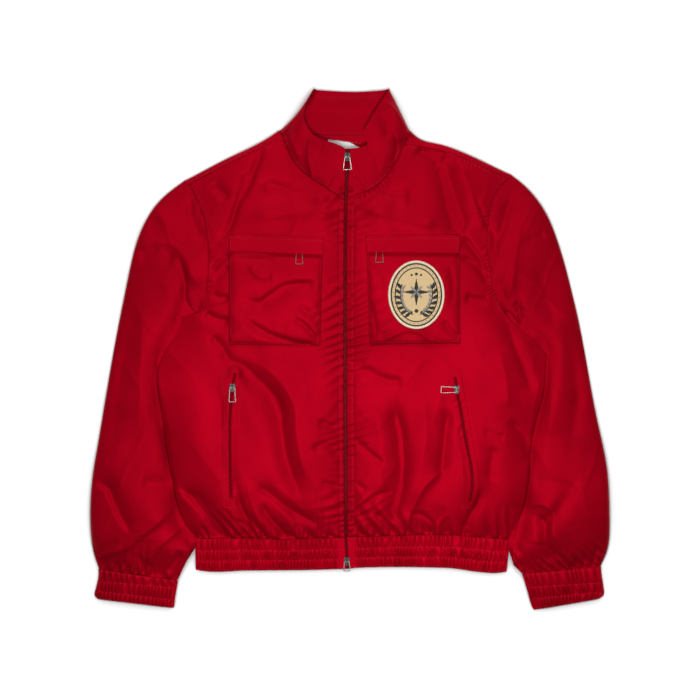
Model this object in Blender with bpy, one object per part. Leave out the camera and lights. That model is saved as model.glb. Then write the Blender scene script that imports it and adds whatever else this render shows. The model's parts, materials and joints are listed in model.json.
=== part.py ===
"""A zipped red nylon cargo jacket lying face up, with its sleeves down at its sides.

Tables are in millimetres on the lying jacket: x to the right of someone looking down at it, y towards
the collar, z up from the surface that it lies on. Right and left in names are the wearer's, so the
right half is at negative x. A cloth piece is a wall: a sheet of outer points, and the same sheet moved
in by the wall's thickness.
"""

import math

import bpy
import numpy as np
from mathutils import Matrix, Vector
from mathutils.bvhtree import BVHTree

# ---- driving sizes, mm ----
MM = 0.001
CLOTH = 1.2  # one wall: the nylon with its turned seam allowance
SEAM_GAP = 0.3
COLLAR_WALL = 1.6
BODY_LIFT = 4.6  # underside of the back where it lies over the inner edge of a sleeve
BACK_SPARE, BACK_SLOPE = 24.0, 28.0  # how far the back stays lifted past that edge, and then comes down
HEM_LEVEL = -284.0
SLEEVE_FLAT = 3.3  # a sleeve pressed flat under the body
ZIP_SLOT = 2.2  # from the middle of the zip to the edge of each front
TURN_IN = 2.5  # how far the back's flat part stops short of the fold over the shoulder
OVER_HEIGHT = 8.0  # the back's height just over that fold
HALF_TILT = (0.5, 0.87)  # sideways and downwards share of a wall's thickness where it turns
CHAIN_HALF, TAPE_HALF = 1.7, 8.0
WIRE = 1.3  # diameter of a pull tab's wire

# How many points each shared edge has. Pieces that meet along an edge use the same ones.
SIDE_ROWS, ARM_ROWS = 17, 9
NECK_COLUMNS, SHOULDER_COLUMNS, BACK_NECK_COLUMNS = 8, 9, 8
SLEEVE_RINGS = 22

# ---- edges, measured on the lying jacket: columns x, y, z of the outer surface ----
NECK = {
    "right": [(-8.2, 224, 10), (-23, 233, 11), (-35, 244, 11.5), (-50, 250, 12), (-64, 261, 12),
              (-79, 273, 11.5), (-88, 286, 11), (-97, 308, 10), (-101, 319, 9)],
    "left": [(-2.6, 226, 10), (10, 233, 11), (23, 236, 11.5), (37, 244, 12), (50, 253, 12),
             (68, 280, 11.5), (83, 308, 9)],
}
SHOULDER = {
    "right": [(-101, 319, 9), (-134, 302, 10.5), (-217, 260, 10.5), (-241, 248, 9)],
    "left": [(83, 308, 9), (106, 305, 10), (128, 301, 10.5), (143, 297, 10.5), (218, 265, 10.5),
             (238, 256, 9)],
}
SHOULDER_FOLD = {  # the silhouette, where the back turns over to the front
    "right": [(-107, 329, 4), (-125, 317, 4), (-190, 285, 4), (-248, 254, 4)],
    "left": [(92, 328, 4), (106, 315, 4), (136, 310, 4), (173, 296, 4), (243, 263, 4)],
}
ARMHOLE = {  # shoulder to underarm
    "right": [(-241, 248, 9), (-230, 230, 10.5), (-220, 206, 12), (-214, 176, 13), (-211, 148, 13),
              (-212, 110, 12), (-217, 77, 10.5), (-226, 55, 9)],
    "left": [(238, 256, 9), (227, 247, 10), (214, 223, 12), (208, 193, 13), (206, 163, 13),
             (211, 122, 12), (217, 83, 10.5), (223, 70, 10), (230, 58, 9)],
}
SIDE = {  # underarm to hem band
    "right": [(-226, 55, 9), (-249, 50, 7.4), (-254, 32, 7.4), (-264, 19, 7.4), (-275, 1, 7.4),
              (-288, -26, 7.4), (-288, -50, 7.4), (-285, -73, 7.4), (-281, -97, 7.4), (-276, -136, 7.4),
              (-266, -193, 7.4), (-257, -235, 7.4), (-247.5, -261, 7.4), (-243.5, -270, 6.6),
              (-232, -284, 4.6)],
    "left": [(230, 58, 9), (246, 37, 7.4), (269, 20, 7.4), (295, -4, 7.4), (293, -35, 7.4), (291, -65, 7.4),
             (283, -92, 7.4), (272, -139, 7.4), (271, -166, 7.4), (263, -226, 7.4), (252, -261, 7.4),
             (248.5, -270, 6.6), (241, -286, 4.6)],
}
HEM_SEAM = {  # zip to side
    "right": [(-7.6, -283, 9), (-44, -282, 10.5), (-92, -284, 11), (-157, -282, 10.5), (-205, -283, 8.5),
              (-232, -284, 4.6)],
    "left": [(-3.2, -281, 9), (29, -280, 10.5), (80, -278, 11), (133, -277, 10.5), (184, -280, 9),
             (218, -283, 7.5), (241, -286, 4.6)],
}
HEM_EDGE = {
    "right": [(-5, -329.5, 6.5), (-56, -331, 7), (-156, -332, 7), (-218, -333, 6), (-231, -331, 4.6)],
    "left": [(-0.4, -328.5, 6.5), (20, -327.5, 7), (106, -327, 7), (158, -329, 7), (193, -334, 7),
             (225, -335.5, 6), (236, -334, 4.6)],
}
BACK_NECK = [(-107, 329, 0), (-80, 325.5, 0), (-40, 323, 0), (10, 322.5, 0), (60, 324, 0), (92, 328, 0)]
ZIP_LINE = [(-2.4, -329, 6.6), (-3.8, -305, 7.6), (-5.4, -281, 9), (-5.5, -254, 12), (-5.7, -173, 11.5),
            (-6.5, -92, 10.5), (-6.5, 0, 10.5), (-6.5, 110, 10.5), (-6, 190, 10), (-5.4, 225, 10),
            (-4, 262, 14.4), (-2.3, 300, 19)]
COLLAR_TOP = {  # zip to the fold at the side of the neck
    "right": [(-5, 300, 19), (-22, 309, 20), (-32, 310.5, 21), (-55, 320, 23), (-65, 334, 25), (-69, 346, 26),
              (-68, 360, 25), (-60, 377, 22)],
    "left": [(0.5, 300.5, 19), (16, 301.5, 20), (29, 303, 20), (26, 313, 22), (20, 323, 23), (31, 343, 25),
             (44, 366, 24), (54, 381, 21)],
}
COLLAR_BACK_TOP = [(-46, 389.5, 4.5), (-22, 388, 3.5), (16, 387, 3.5), (44, 388.5, 4.5)]
# The folds at the sides of the neck. Columns: bottom x, y, z, middle x, y, z, top x, y, z.
COLLAR_FOLD = {
    "right": [(-103, 325, 8, -79, 350, 18, -56.5, 386, 17), (-106, 330.5, 4, -79, 355.5, 8, -53.5, 391.5, 11),
              (-101, 329, 0.6, -73, 354, 1.5, -49, 390, 5.5)],
    "left": [(87, 321.5, 8, 75, 350, 18, 58.5, 386, 17), (91.2, 329.6, 4, 77, 359, 8, 60, 391.5, 11),
             (87, 329, 0.6, 72, 357, 1.5, 54, 390, 5.5)],
}
COLLAR_INWARD = {"right": (0.76, -0.65), "left": (-0.89, -0.45)}

# ---- how far the fronts stand off the back: columns place from hem to shoulder, height ----
PUFF = [(0, 2), (0.04, 9), (0.1, 14), (0.25, 11), (0.5, 8), (0.75, 6), (0.92, 5), (1, 1)]

# ---- folds: columns from x, y, to x, y, half width, height (a trough is negative) ----
FRONT_FOLDS = {
    "right": [(-251, -199, -194, -276, 9, -5), (-176, -196, -139, -276, 9, -5),
              (-139, -205, -50, -260, 10, -6),
              (-158, -228, -150, -268, 10, 4), (-100, -215, -60, -235, 10, 3), (-44, -221, -44, -276, 8, -4),
              (-158, -6, -110, -92, 15, -4), (-110, -92, -73, -215, 15, -4), (-200, 145, -163, 223, 10, -3.5),
              (-130, 305, -151, 244, 9, -3.5), (-208, 117, -183, 112, 9, -3), (-216, 52, -190, 36, 9, -3),
              (-240, -30, -225, -150, 14, 3)],
    "left": [(68, -85, 80, -146, 13, -5), (80, -146, 64, -250, 13, -5), (146, -106, 136, -190, 9, -4),
             (146, -163, 92, -238, 10, -5), (92, -242, 127, -262, 8, -4), (205, -214, 173, -268, 9, -5),
             (233, 40, 264, -44, 12, -4), (242, -101, 262, -160, 10, -4), (128, 292, 157, 244, 12, -4),
             (157, 244, 200, 155, 12, -4), (167, 139, 203, 98, 9, -3), (110, -190, 60, -240, 9, 3),
             (228, -60, 235, -150, 12, 3)],
}
SLEEVE_FOLDS = {
    "right": [(-298, 209, -260, 148, 10, -5), (-260, 148, -234, 97, 10, -5), (-322, 148, -268, 155, 9, -4),
              (-262, -236, -310, -278, 9, -9), (-310, -278, -376, -312, 9, -6),
              (-383, -202, -335, -268, 9, -7),
              (-300, 60, -318, -40, 12, 2.5), (-335, -60, -345, -160, 12, 2.5)],
    "left": [(275, 206, 254, 163, 9, 4), (254, 163, 240, 83, 9, 4), (245, 200, 225, 163, 9, -4),
             (267, -237, 301, -244, 9, -9), (301, -248, 336, -320, 9, -8), (248, -290, 282, -326, 9, -6),
             (310, 60, 330, -60, 12, 2.5)],
}

# ---- sleeves: columns outer x, y, inner x, y, bow of the ring line, height ----
SLEEVE = {
    "right": [(-268, 241, -233, 58, -14, 14), (-292, 219, -244, 54, -9, 16), (-313, 182, -243, 34, -4, 17),
              (-326, 143, -220, 2, 0, 16), (-335, 101, -205, -34, 0, 15), (-344, 58, -202, -73, 0, 14),
              (-355, 1, -205, -113, 0, 14), (-364, -52, -211, -154, 0, 15), (-373, -106, -220, -191, 0, 16),
              (-380, -149, -232, -221, 0, 18), (-386, -184, -254.5, -247, 0, 21),
              (-389, -215, -249, -264, 0, 25),
              (-390, -247, -239, -282, 0, 26), (-390, -274, -235, -297, 0, 24),
              (-386, -298, -243, -310, 0, 19),
              (-384, -313, -247, -323, 0, 13), (-380, -324, -252, -335, 0, 10),
              (-377, -329.3, -258, -346.5, 0, 8.6)],
    "left": [(262, 250, 239, 57, 10, 14), (283, 227, 252, 42, 6, 16), (300, 199, 254, 23, 2, 17),
             (313, 164, 235, -4, 0, 16), (324, 130, 214, -34, 0, 15), (334, 91, 202, -70, 0, 14),
             (344, 50, 202, -109, 0, 14), (353, 4, 208, -148, 0, 14), (361, -41, 215, -181, 0, 15),
             (370, -91, 226, -208, 0, 16), (380, -137, 238, -230, 0, 18), (387, -169, 250, -249, 0, 21),
             (390, -206, 252.5, -268, 0, 25), (391, -240, 246, -285, 0, 26), (391.5, -270, 243, -303, 0, 24),
             (391, -293, 243, -319, 0, 19), (388, -310, 250, -330, 0, 13), (382, -321, 256, -336, 0, 10),
             (378, -325.5, 259, -336.5, 0, 8.6)],
}
# Width of sleeve hidden under the body, below each height. Columns y, width.
HIDDEN = [(-300, 0), (-262, 0), (-245, 14), (-221, 36), (-190, 58), (-154, 72), (-113, 84), (-73, 94),
          (-34, 92), (2, 58), (34, 30), (60, 0), (400, 0)]

# ---- cuffs: columns left x, y, right x, y, height, from the seam to the edge ----
CUFF = {
    "right": [(-377.2, -329.8, -258.2, -347, 8.6), (-377.5, -342, -258.5, -352, 9),
              (-381, -358, -262, -372, 9),
              (-383, -370.5, -263.5, -386, 8.5), (-379, -375, -264.5, -388.5, 7)],
    "left": [(259.3, -337, 377.8, -326, 8.6), (262, -345, 379, -338, 9), (268, -365, 381.5, -355, 9),
             (273.5, -384, 381.5, -370, 8.5), (277, -391.5, 376, -374.5, 7)],
}
RING_START = 0.04  # where the upper side of a sleeve's ring starts, in parts of the ring's width
RING_EDGE = 0.62  # height of the ring there, in parts of its height in the middle
TUCK_CLEAR, TUCK_SLOPE = 3.5, 0.75  # a sleeve rises at this slope, from this far outside the body's edge
CUFF_WAVES, CUFF_WAVE = 17, 1.1  # gathers across the upper side, and their height from the middle
CUFF_EDGE = 0.45  # height at a cuff's sides, in parts of its height
CUFF_WALL = 3.2  # cloth, elastic and gathers
HEM_WAVES, HEM_WAVE = 27, 1.2
HEM_BACK_WALL = 2.4
CHANNELS = 3  # elastic channels between stitched lines, in hem band and cuffs

# ---- pockets: corners x, y in the order top outer-left, top right, bottom right, bottom left ----
POCKET = {"right": [(-180.5, 150), (-40, 145), (-43.5, 6), (-180, 7)],
          "left": [(25.5, 149), (164.5, 148), (166, 9), (30, 7)]}
FLAP = {"right": [(-178, 173.5), (-39.5, 167.5), (-40, 141.5), (-179.5, 147)],
        "left": [(24, 171), (165, 172), (163.5, 144), (25.5, 145.5)]}
POCKET_DEPTH = 6.5
FLAP_LIFT = 6.4  # underside of a flap's free edge above the front
PATCH_CENTRE, PATCH_SIZE, PATCH_WALL = (99.5, 81.5), (84, 102), 1.6
PATCH_LIFT = 0.8  # over a curved pocket, so that the flat cells of the patch clear it
LABEL = [(-32, 316.5), (17.5, 310), (15.5, 291), (-34, 297.5)]
LABEL_WALL = 0.8

# ---- hand pockets: the line of each zip, from top to bottom ----
SIDE_ZIP = {"right": [(-171, -35), (-175, -60), (-178, -92), (-178.5, -140), (-178, -190), (-177, -221)],
            "left": [(157, -41), (163, -75), (173.5, -136), (182.5, -185), (183, -205), (179, -226)]}
SIDE_WELT_WIDTH, SIDE_CHAIN_WIDTH = 8.0, 3.6
SIDE_WELT_WALL, SIDE_CHAIN_WALL, STRIP_LIFT = 1.4, 1.2, 0.8

# ---- sliders and pull tabs. Columns: node ending, x, y, height over what it lies on, tip of the slider,
# turn of the bridge and the pull tab from hanging towards the hem, fall of the pull tab, its reach, its
# width at the bridge, its width at the end, scale of the slider ----
SLIDER_LENGTH, SLIDER_WIDTH, SLIDER_PLATE = 12.0, 9.0, 2.4
SLIDERS = [
    ("top", -3.2, 288, 0.9, 6.5, 0, 13, 19, 7.5, 12, 1.0),
    ("bottom", -4.0, -318, 0.7, 0, 0, 0, 14, 7.5, 9, 1.0),
    ("side_right", -174.5, -57, 2.9, 0, 0, 0, 21, 7.5, 9.5, 1.0),
    ("side_left", 159.5, -60, 2.9, 0, -90, 0, 23, 7.5, 9.5, 1.0),
    ("chest_right", -75, 152, 0.4, 0, 0, -9, 25, 7.5, 10.5, 0.72),
    ("chest_left", 44.6, 154, 0.4, 0, 0, -9, 24.5, 7.5, 11.5, 0.72),
]

RED = (0.45, 0.003, 0.014)
METAL = (0.55, 0.54, 0.53)


def clear_scene():
    for obj in list(bpy.data.objects):
        bpy.data.objects.remove(obj, do_unlink=True)


def finish(name, colour, roughness, metallic=0.0):
    """The material of one sub-part."""
    material = bpy.data.materials.new(name)
    material.use_nodes = True
    shader = material.node_tree.nodes["Principled BSDF"]
    shader.inputs["Base Color"].default_value = (*colour, 1)
    shader.inputs["Roughness"].default_value = roughness
    shader.inputs["Metallic"].default_value = metallic
    return material


# ---- curves and grids ----


def smooth(rows, places):
    """The table read at places from 0, its first row, to 1, its last, along a smooth curve through them."""
    rows = np.asarray(rows, float)
    steps = np.linalg.norm(np.diff(rows, axis=0), axis=1)
    at = np.concatenate([[0], np.cumsum(steps)]) / steps.sum()
    slopes = np.gradient(rows, at, axis=0)
    places = np.clip(np.asarray(places, float), 0, 1)
    row = np.clip(np.searchsorted(at, places, side="right") - 1, 0, len(at) - 2)
    span = (at[row + 1] - at[row])[:, None]
    t = ((places - at[row]) / (at[row + 1] - at[row]))[:, None]
    return (
        (2 * t**3 - 3 * t**2 + 1) * rows[row]
        + (t**3 - 2 * t**2 + t) * span * slopes[row]
        + (3 * t**2 - 2 * t**3) * rows[row + 1]
        + (t**3 - t**2) * span * slopes[row + 1]
    )


def along(line, places):
    """Points on the straight stretches between the line's points, at places from 0 to 1."""
    line = np.asarray(line, float)
    at = np.linspace(0, 1, len(line))
    return np.stack([np.interp(places, at, line[:, k]) for k in range(line.shape[1])], axis=1)


def evenly(rows, count):
    return smooth(rows, np.linspace(0, 1, count))


def ramp(value):
    """0 below 0, 1 above 1, and a soft step between."""
    value = np.clip(value, 0, 1)
    return value * value * (3 - 2 * value)


def shifted(points, distance):
    """The line moved sideways on the surface, to the right of the way it runs."""
    points = np.array(points, float)
    run = np.gradient(points[:, :2], axis=0)
    run /= np.linalg.norm(run, axis=1)[:, None]
    points[:, 0] += distance * run[:, 1]
    points[:, 1] -= distance * run[:, 0]
    return points


def fill(bottom, top, start, end):
    """Rows of points between four edges: bottom and top run along the columns, start and end along rows."""
    u = np.linspace(0, 1, len(bottom))[None, :, None]
    v = np.linspace(0, 1, len(start))[:, None, None]
    corners = (1 - v) * ((1 - u) * bottom[0] + u * bottom[-1]) + v * ((1 - u) * top[0] + u * top[-1])
    return (1 - v) * bottom[None] + v * top[None] + (1 - u) * start[:, None] + u * end[:, None] - corners


def distance_to(x, y, line):
    """How far each point lies from a line of straight stretches."""
    nearest = np.full(np.shape(x), np.inf)
    for (ax, ay), (bx, by) in zip(line[:-1], line[1:]):
        length = max((bx - ax) ** 2 + (by - ay) ** 2, 1e-9)
        t = np.clip(((x - ax) * (bx - ax) + (y - ay) * (by - ay)) / length, 0, 1)
        nearest = np.minimum(nearest, np.hypot(x - ax - t * (bx - ax), y - ay - t * (by - ay)))
    return nearest


def within(x, y, outline):
    """Whether each point lies inside a closed outline."""
    inside = np.zeros(np.shape(x), bool)
    for (ax, ay), (bx, by) in zip(outline, np.roll(outline, -1, axis=0)):
        crosses = (ay > y) != (by > y)
        rise = by - ay if by != ay else 1e-9
        inside ^= crosses & (x < ax + (y - ay) * (bx - ax) / rise)
    return inside


def folds_at(x, y, folds):
    """Height that the folds of a table add at each point."""
    height = np.zeros(np.shape(x))
    for ax, ay, bx, by, width, rise in folds:
        height += rise * np.exp(-((distance_to(x, y, [(ax, ay), (bx, by)]) / width) ** 2))
    return height


# ---- walls ----


def cells(rows, columns, around=False):
    """Two triangles for each cell of a grid. A grid that goes around joins its last column to its first."""
    faces = []
    for i in range(rows - 1):
        for j in range(columns if around else columns - 1):
            k = (j + 1) % columns
            a, b, c, d = i * columns + j, i * columns + k, (i + 1) * columns + k, (i + 1) * columns + j
            faces += [(a, b, c), (a, c, d)]
    return faces


def open_edges(faces):
    """Each edge that only one face has, in that face's direction."""
    edges = {}
    for face in faces:
        for a, b in zip(face, face[1:] + face[:1]):
            edges[a, b] = (b, a)
    return [edge for edge, back in edges.items() if back not in edges]


def add_mesh(name, points, faces, material):
    """A mesh object from points in millimetres, with its faces turned out."""
    mesh = bpy.data.meshes.new(name)
    mesh.from_pydata([tuple(p) for p in np.asarray(points) * MM], [], faces)
    mesh.materials.append(material)
    obj = bpy.data.objects.new(name, mesh)
    bpy.context.collection.objects.link(obj)
    corners = np.asarray(points)[np.array([face[:3] for face in faces])]
    if np.linalg.det(corners).sum() < 0:
        mesh.flip_normals()
    return obj


def wall(name, points, inward, faces, material):
    """A closed wall: a sheet of outer points, the same sheet moved in, and its edges closed between them."""
    points = np.asarray(points, float).reshape(-1, 3)
    inner = points + np.asarray(inward, float).reshape(-1, 3)
    count = len(points)
    closed = list(faces) + [tuple(count + k for k in reversed(face)) for face in faces]
    for a, b in open_edges(faces):
        closed += [(b, a, count + a), (b, count + a, count + b)]
    return add_mesh(name, np.concatenate([points, inner]), closed, material)


def sheet(name, grid, thickness, material):
    """A wall from a grid that shows its upper side: it is thickened straight down."""
    inward = np.zeros(grid.shape)
    inward[..., 2] = -np.asarray(thickness)
    return wall(name, grid, inward, cells(*grid.shape[:2]), material)


class Surface:
    """The upper side of a grid of points, to lay other pieces on."""

    def __init__(self, grid):
        points = [Vector(p) for p in grid.reshape(-1, 3)]
        self.tree = BVHTree.FromPolygons(points, cells(*grid.shape[:2]))

    def height(self, x, y):
        hit = self.tree.ray_cast(Vector((x, y, 300)), Vector((0, 0, -1)))[0]
        if hit is None:
            raise ValueError(f"nothing lies under {x:.0f}, {y:.0f}")
        return hit.z

    def heights(self, flat):
        return np.array([self.height(x, y) for x, y in flat.reshape(-1, 2)]).reshape(flat.shape[:-1])


# ---- edges that pieces share ----


def shared_edges(side):
    """The edges of one half, each sampled once."""
    return {
        "neck": evenly(NECK[side], NECK_COLUMNS),
        "shoulder": evenly(SHOULDER[side], SHOULDER_COLUMNS),
        "fold": evenly(SHOULDER_FOLD[side], SHOULDER_COLUMNS),
        "arm": evenly(ARMHOLE[side], ARM_ROWS),
        "side": evenly(SIDE[side], SIDE_ROWS),
        "hem": evenly(HEM_SEAM[side], NECK_COLUMNS + SHOULDER_COLUMNS - 1),
    }


def outer_edge(edges):
    """Hem to underarm to shoulder."""
    return np.concatenate([edges["side"][::-1], edges["arm"][::-1][1:]])


def body_outline(edges):
    """The half's outline on the surface, closed along the zip."""
    back_to_zip = [edges[name][::-1][1:] for name in ("side", "arm", "shoulder", "neck")]
    return np.concatenate([edges["hem"], *back_to_zip])[:, :2]


def zip_at(y):
    line = evenly(ZIP_LINE, 60)
    return np.stack([np.interp(y, line[:, 1], line[:, 0]), y, np.interp(y, line[:, 1], line[:, 2])], axis=1)


# ---- pieces of cloth ----


def front_grid(side, edges):
    """The outer points of one front: rows from hem to shoulder, columns from zip to side."""
    bottom, outer = edges["hem"], outer_edge(edges)
    top = np.concatenate([edges["neck"], edges["shoulder"][1:]])
    reach = (outer[:, 1] - outer[0, 1]) / (outer[-1, 1] - outer[0, 1])
    inner = zip_at(bottom[0, 1] + reach * (top[0, 1] - bottom[0, 1]))
    inner[:, 0] += -ZIP_SLOT if side == "right" else ZIP_SLOT
    bottom[0], top[0] = inner[0], inner[-1]
    grid = fill(bottom, top, inner, outer)
    u = np.linspace(0, 1, grid.shape[1])[None, :]
    v = reach[:, None]
    puff = np.interp(v, *np.transpose(PUFF)) * (1 - np.abs(2 * u - 1) ** 5) ** 0.8
    edge = np.minimum(1, 10 * np.minimum(u, 1 - u)) * np.minimum(1, 12 * np.minimum(v, 1 - v))
    x, y = grid[..., 0], grid[..., 1]
    grid[..., 2] += puff + edge * folds_at(x, y, FRONT_FOLDS[side])
    lowest = BODY_LIFT + 2 * CLOTH + 2 * SEAM_GAP
    inside = (slice(1, -1), slice(1, -1))
    grid[inside][..., 2] = np.maximum(grid[inside][..., 2], lowest + 1)
    return grid


def back_lift(x, y, edges):
    """Height of the back's underside: up over the hidden edge of each sleeve, on the surface elsewhere."""
    lift = np.zeros(np.shape(x))
    for half in edges.values():
        away = distance_to(x, y, half["side"][:, :2])
        hidden = np.interp(y, *np.transpose(HIDDEN)) + BACK_SPARE
        lift = np.maximum(lift, ramp((hidden + BACK_SLOPE - away) / BACK_SLOPE))
    return BODY_LIFT * lift * ramp((y - HEM_LEVEL) / 20)


def add_back(edges, material):
    """The back: flat on the surface, and turned up and over the shoulders to the shoulder seams."""
    right, left = edges["right"], edges["left"]
    neck = evenly(BACK_NECK, BACK_NECK_COLUMNS)[1:-1]
    top = np.concatenate([shifted(right["fold"], -TURN_IN)[::-1], neck, shifted(left["fold"], TURN_IN)])
    columns = len(top)
    starts = []
    for half, corner in ((right, top[0]), (left, top[-1])):
        line = outer_edge(half).copy()
        line[-1] = corner
        starts.append(line)
    bottom = along(np.concatenate([right["hem"][::-1], left["hem"]]), np.linspace(0, 1, columns))
    grid = fill(bottom, top, *starts)
    grid[..., 2] = back_lift(grid[..., 0], grid[..., 1], edges)
    grid[-1, :, 2] = 0
    rows = grid.shape[0]
    points, inward = [grid.reshape(-1, 3)], [np.tile((0, 0, CLOTH), (rows * columns, 1))]
    faces = cells(rows, columns)
    for half, sign, first in ((right, 1, 0), (left, -1, columns - SHOULDER_COLUMNS)):
        edge = [(rows - 1) * columns + first + j for j in range(SHOULDER_COLUMNS)]
        order = slice(None, None, -1) if sign == 1 else slice(None)
        fold = half["fold"][order]
        seam = shifted(half["shoulder"], sign * SEAM_GAP)[order]
        over = shifted(half["fold"], -sign * TURN_IN)[order]
        over[:, 2] = OVER_HEIGHT
        tilt = fold - over
        tilt[:, 2] = 0
        tilt /= np.linalg.norm(tilt, axis=1)[:, None]
        down = np.tile((0.0, 0.0, -CLOTH), (len(seam), 1))
        leaning = HALF_TILT[1] * down - HALF_TILT[0] * CLOTH * tilt
        for line, moved in ((fold, -CLOTH * tilt), (over, leaning), (seam, down)):
            start = sum(len(p) for p in points)
            points.append(line)
            inward.append(moved)
            row = [start + j for j in range(SHOULDER_COLUMNS)]
            for j in range(SHOULDER_COLUMNS - 1):
                faces += [(edge[j], edge[j + 1], row[j + 1]), (edge[j], row[j + 1], row[j])]
            edge = row
    wall("back_panel", np.concatenate(points), np.concatenate(inward), faces, material)
    return grid


def sleeve_ring(side, row, edges, outline):
    """One ring of a sleeve: outer edge, upper side, inner edge, then the underside back again."""
    ox, oy, ix, iy, bow, height = row
    outer, inner = np.array((ox, oy)), np.array((ix, iy))
    line = inner - outer
    normal = np.array((-line[1], line[0])) / np.linalg.norm(line)
    body_side = edges[side]["side"][:, :2]

    def place(s):
        s = np.asarray(s, float)[:, None]
        return outer + s * line + bow * 4 * s * (1 - s) * normal * (1 if side == "right" else -1)

    fine = np.linspace(0, 1, 400)
    flat = place(fine)
    covered = within(flat[:, 0], flat[:, 1], outline)
    cover = fine[np.argmax(covered)] - 3 / np.linalg.norm(line) if covered.any() else 1 - RING_START
    visible = ARM_ROWS - 3
    seen = RING_START + (cover - RING_START) * np.linspace(0, 1, visible) ** 0.9
    hidden = cover + (1 - cover) * np.array([0.25, 0.55, 0.85])
    s = np.concatenate([seen, hidden])
    spots = place(s)
    dome = (1 - np.abs(2 * s - 1) ** 4) ** 0.7
    z = height * (RING_EDGE + (1 - RING_EDGE) * dome)
    z += folds_at(spots[:, 0], spots[:, 1], SLEEVE_FOLDS[side])
    away = distance_to(spots[:, 0], spots[:, 1], body_side)
    away[within(spots[:, 0], spots[:, 1], outline)] = 0
    tuck = SLEEVE_FLAT + TUCK_SLOPE * np.maximum(away - TUCK_CLEAR, 0)
    z = np.maximum(np.minimum(z, tuck), SLEEVE_FLAT)
    low = np.column_stack([place(s), np.zeros(len(s))])
    edge_heights = [0.25 * height, 0.52 * height, 0.5 * min(z[-1], 0.8 * height)]
    edge = np.column_stack([place([0, 0.012, 1.0]), edge_heights])
    inwards = np.append(line / np.linalg.norm(line), 0) * CLOTH
    ring = [edge[0], edge[1], *np.column_stack([spots, z]), edge[2], *low[::-1]]
    moved = [inwards, (inwards[0] * 0.7, inwards[1] * 0.7, -0.7 * CLOTH)]
    moved += [(0, 0, -CLOTH)] * len(s) + [-inwards] + [(0, 0, CLOTH)] * len(s)
    return np.array(ring), np.array(moved)


def armhole_ring(side, edges, back):
    """The sleeve's first ring, on the points of the front's and the back's armhole edges."""
    sign = 1 if side == "right" else -1
    half = edges[side]
    upper = shifted(half["arm"], sign * SEAM_GAP)
    column = 0 if side == "right" else -1
    lower = back[-ARM_ROWS:, column][::-1]
    lower = shifted(lower, sign * SEAM_GAP)
    run = half["fold"][-1] - half["fold"][-2]
    beyond = (SEAM_GAP + 0.1) * run / np.linalg.norm(run)
    fold = half["fold"][-1] + beyond
    over = shifted(half["fold"], -sign * TURN_IN)[-1] + beyond
    over[2] = OVER_HEIGHT
    middle = (upper[-1] + lower[-1]) / 2
    ring = [fold, over, *upper, middle, *lower[::-1]]
    moved = [(sign * 0.8, -0.9, 0), (sign * 0.4, -0.6, -0.9)]
    moved += [(0, 0, -CLOTH)] * len(upper) + [(-sign * CLOTH, 0, 0)] + [(0, 0, CLOTH)] * len(lower)
    return np.array(ring), np.array(moved)


def add_sleeve(side, edges, back, material):
    outline = body_outline(edges[side])
    rings = [armhole_ring(side, edges, back)]
    rings += [sleeve_ring(side, row, edges, outline) for row in evenly(SLEEVE[side], SLEEVE_RINGS)]
    points = np.array([ring for ring, _ in rings])
    inward = np.array([moved for _, moved in rings])
    wall(f"sleeve_{side}", points, inward, cells(*points.shape[:2], around=True), material)


def add_cuff(side, material):
    """A cuff: a flat tube, gathered on its upper side between stitched lines."""
    steps = 2 * CHANNELS + 1
    sections = smooth(CUFF[side], np.linspace(0, 1, steps))
    count = 2 * CUFF_WAVES + 1
    s = np.linspace(0, 1, count)
    wave = np.where(np.arange(count) % 2 == 0, -1, 1)
    under = np.linspace(0.97, 0.03, 7)
    rings, inner = [], []
    for k, (ax, ay, bx, by, height) in enumerate(sections):
        a, b = np.array((ax, ay, 0.0)), np.array((bx, by, 0.0))
        crest = k % 2
        top = a + s[:, None] * (b - a)
        dome = (1 - np.abs(2 * s - 1) ** 6) ** 0.5
        rounded = height * (CUFF_EDGE + (1 - CUFF_EDGE) * dome)
        top[:, 2] = rounded - (0 if crest else 0.9)
        top[1:-1, 2] += (CUFF_WAVE if crest else 0.45 * CUFF_WAVE) * wave[1:-1]
        low = a + under[:, None] * (b - a)
        rings.append(np.concatenate([top, low]))
        bore = np.concatenate([a + np.clip(s, 0.02, 0.98)[:, None] * (b - a), low])
        bore[:count, 2] = np.minimum(1.9 + 1.6 * dome, rounded - CUFF_WALL)
        bore[count:, 2] = CLOTH
        inner.append(bore)
    rings, inner = np.array(rings), np.array(inner)
    wall(f"cuff_{side}", rings, inner - rings, cells(*rings.shape[:2], around=True), material)


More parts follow.
